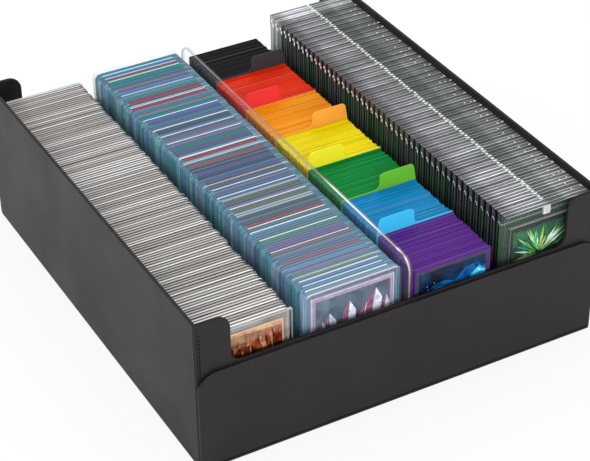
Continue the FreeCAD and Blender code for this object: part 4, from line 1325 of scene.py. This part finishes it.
bpy.context.scene.view_settings.view_transform = "Standard"
make_camera()
make_world()
make_floor()
area_light("key_back", (0.55, 1.15, 1.15), (0, 0, 0.1), (1.2, 0.6), 4)
area_light("fill_left", (-1.3, 0.7, 0.9), (-0.1, 0.1, 0.05), (1.2, 0.9), 5)
area_light("fill_front", (-0.5, -2.1, 0.7), (0, 0, 0.08), (1.6, 0.9), 22)

skin = leatherette("leatherette_charcoal", (0.0096, 0.0084, 0.0088), (0.0135, 0.0118, 0.0124))
thread = leatherette("thread_black", 0.002, 0.004, 0.7, 0.1)
nap = toned("microfibre_black", (90, 6, (1.0, 1.0, 0.4)), (0.0085, 0.008, 0.0085),
            (0.018, 0.017, 0.0175), (0.35, 0.7), (2600, 0.3, 0.0002), Roughness=0.95,
            Specular_IOR_Level=0.08, Sheen_Weight=0.12, Sheen_Roughness=0.5,
            Sheen_Tint=(0.5, 0.5, 0.52))
board = toned("board_grey", (260, 6, (1.0, 0.3, 1.0)), (0.11, 0.10, 0.095),
              (0.19, 0.18, 0.165), bump=(0, 0.25, 0.0002), Roughness=0.9)
metal = toned("nickel", (900, 3, (0.1, 1.0, 1.0)), (0.80, 0.80, 0.81), (0.95, 0.95, 0.94),
              (0.2, 0.8), (0, 0.1, 0.00005), Metallic=1.0, Roughness=0.22)
core = toned("card_stock", (700, 3, (0.2, 1.0, 0.2)), (0.62, 0.61, 0.58), (0.80, 0.79, 0.76),
             Roughness=0.6)
sheet_pvc = toned("toploader_clear", (60,), (0.90, 0.90, 0.89), (0.94, 0.94, 0.934),
                  bump=(45, 0.03, 0.0004), Roughness=0.04, IOR=1.49, Transmission_Weight=1.0,
                  Specular_IOR_Level=0.2)
# white stand-in for glints: the cases' pips and magnets are painted highlights
glint_white = toned("case_pip_glint", (400,), 0.90, 1.0, Roughness=0.15, Specular_IOR_Level=0.8)
acrylic = thin_clear("acrylic_clear", (0.66, 0.72, 0.76), 0.055)
shell_blue = thin_clear("snap_holder_clear", (0.26, 0.46, 0.54), 0.09)
shell_grey = thin_clear("magnetic_case_clear", (0.16, 0.22, 0.20), 0.10)
# painted highlights on the edges of the clear front pieces
pocket_edge_highlight = lit_edge("pocket_edge_highlight", 0.34, 0.72)
holder_edge_highlight = lit_edge("holder_edge_highlight", (0.16, 0.34, 0.42), (0.50, 0.62, 0.68))
case_edge_highlight = lit_edge("case_edge_highlight", (0.015, 0.028, 0.025), (0.085, 0.12, 0.11))

# the CAD nodes' own finishes: some of them stay in view, the others are replaced below
for material, names in (
        (board, ("cover_board", "front_flap_board", "back_flap_board", "tray_board_left",
                 "tray_board_right", "tray_board_front", "tray_board_back", "tray_floor_board")),
        (nap, ("cover_lining", "front_flap_lining", "back_flap_lining", "tray_wall_lining",
               "tray_floor_lining")),
        (foam_dark(), ("tray_floor_pad",)),
        (metal, ("front_flap_magnets", "back_flap_magnets", "tray_magnets_front",
                 "tray_magnets_back")),
        (skin, ("cover_skin", "fold_front", "fold_back", "front_flap_skin", "back_flap_skin",
                "tray_skin"))):
    for name in names:
        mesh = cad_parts[name].data
        mesh.materials.clear()
        mesh.materials.append(material)

tray_shell(skin)
corner_stitches(thread)
cover_base(skin)
for side in (-1, 1):
    cover_flap(side, skin)
    fold_skin(side, skin)
clear_divider(acrylic)

pocket_looks, holder_looks, case_looks = toploader_finishes(), holder_finishes(), case_finishes()
toploader_row(*pocket_looks, core, holder_looks[3])
holder_row(*holder_looks)
for order, colour in enumerate(COLOURS):
    sleeved_cards(colour, sleeve_film(colour + "_film", SLEEVE_INK[colour], 0.85), 40 + order)
    if colour in TAB_INK:
        tab = rounded_copy("divider_" + colour, colour + "_tab_divider",
                           [tab_sheet(colour + "_tab", TAB_INK[colour])], TAB_ROUND)
        dress(tab, "row3_divider_" + colour, "tab_" + colour, "divider_" + colour)
case_row(*case_looks, glint_white)
case_pips(glint_white)

# each front piece's top takes its row's top finish, with that row's painted highlights and shade
for nodes, body, slot, looks in (
        (("front_toploader",), "row1_front_toploader", "toploader",
         (sheet_pvc, pocket_edge_highlight, pocket_looks[1])),
        (("front_holder_front", "front_holder_back"), "row2_front_holder", "snap_holder",
         (shell_blue, holder_edge_highlight, holder_looks[2])),
        (("front_case_front", "front_case_back"), "row4_front_case", "magnetic_case",
         (shell_grey, case_edge_highlight, case_looks[0]))):
    for node in nodes:
        front_clear(node, body, slot, *looks)
# the front magnet takes the glint white finish: a painted highlight
magnet = rounded_copy("front_case_magnet", "front_round_magnet", [glint_white], MAGNET_ROUND,
                      segments=3)
dress(magnet, "row4_front_case", "magnet", "front_case_magnet")
canyon_card(core)
crystal_card(core)
wave_card(sleeve_film("purple_front", SLEEVE_INK["purple"], 0.8))
fern_card(core)
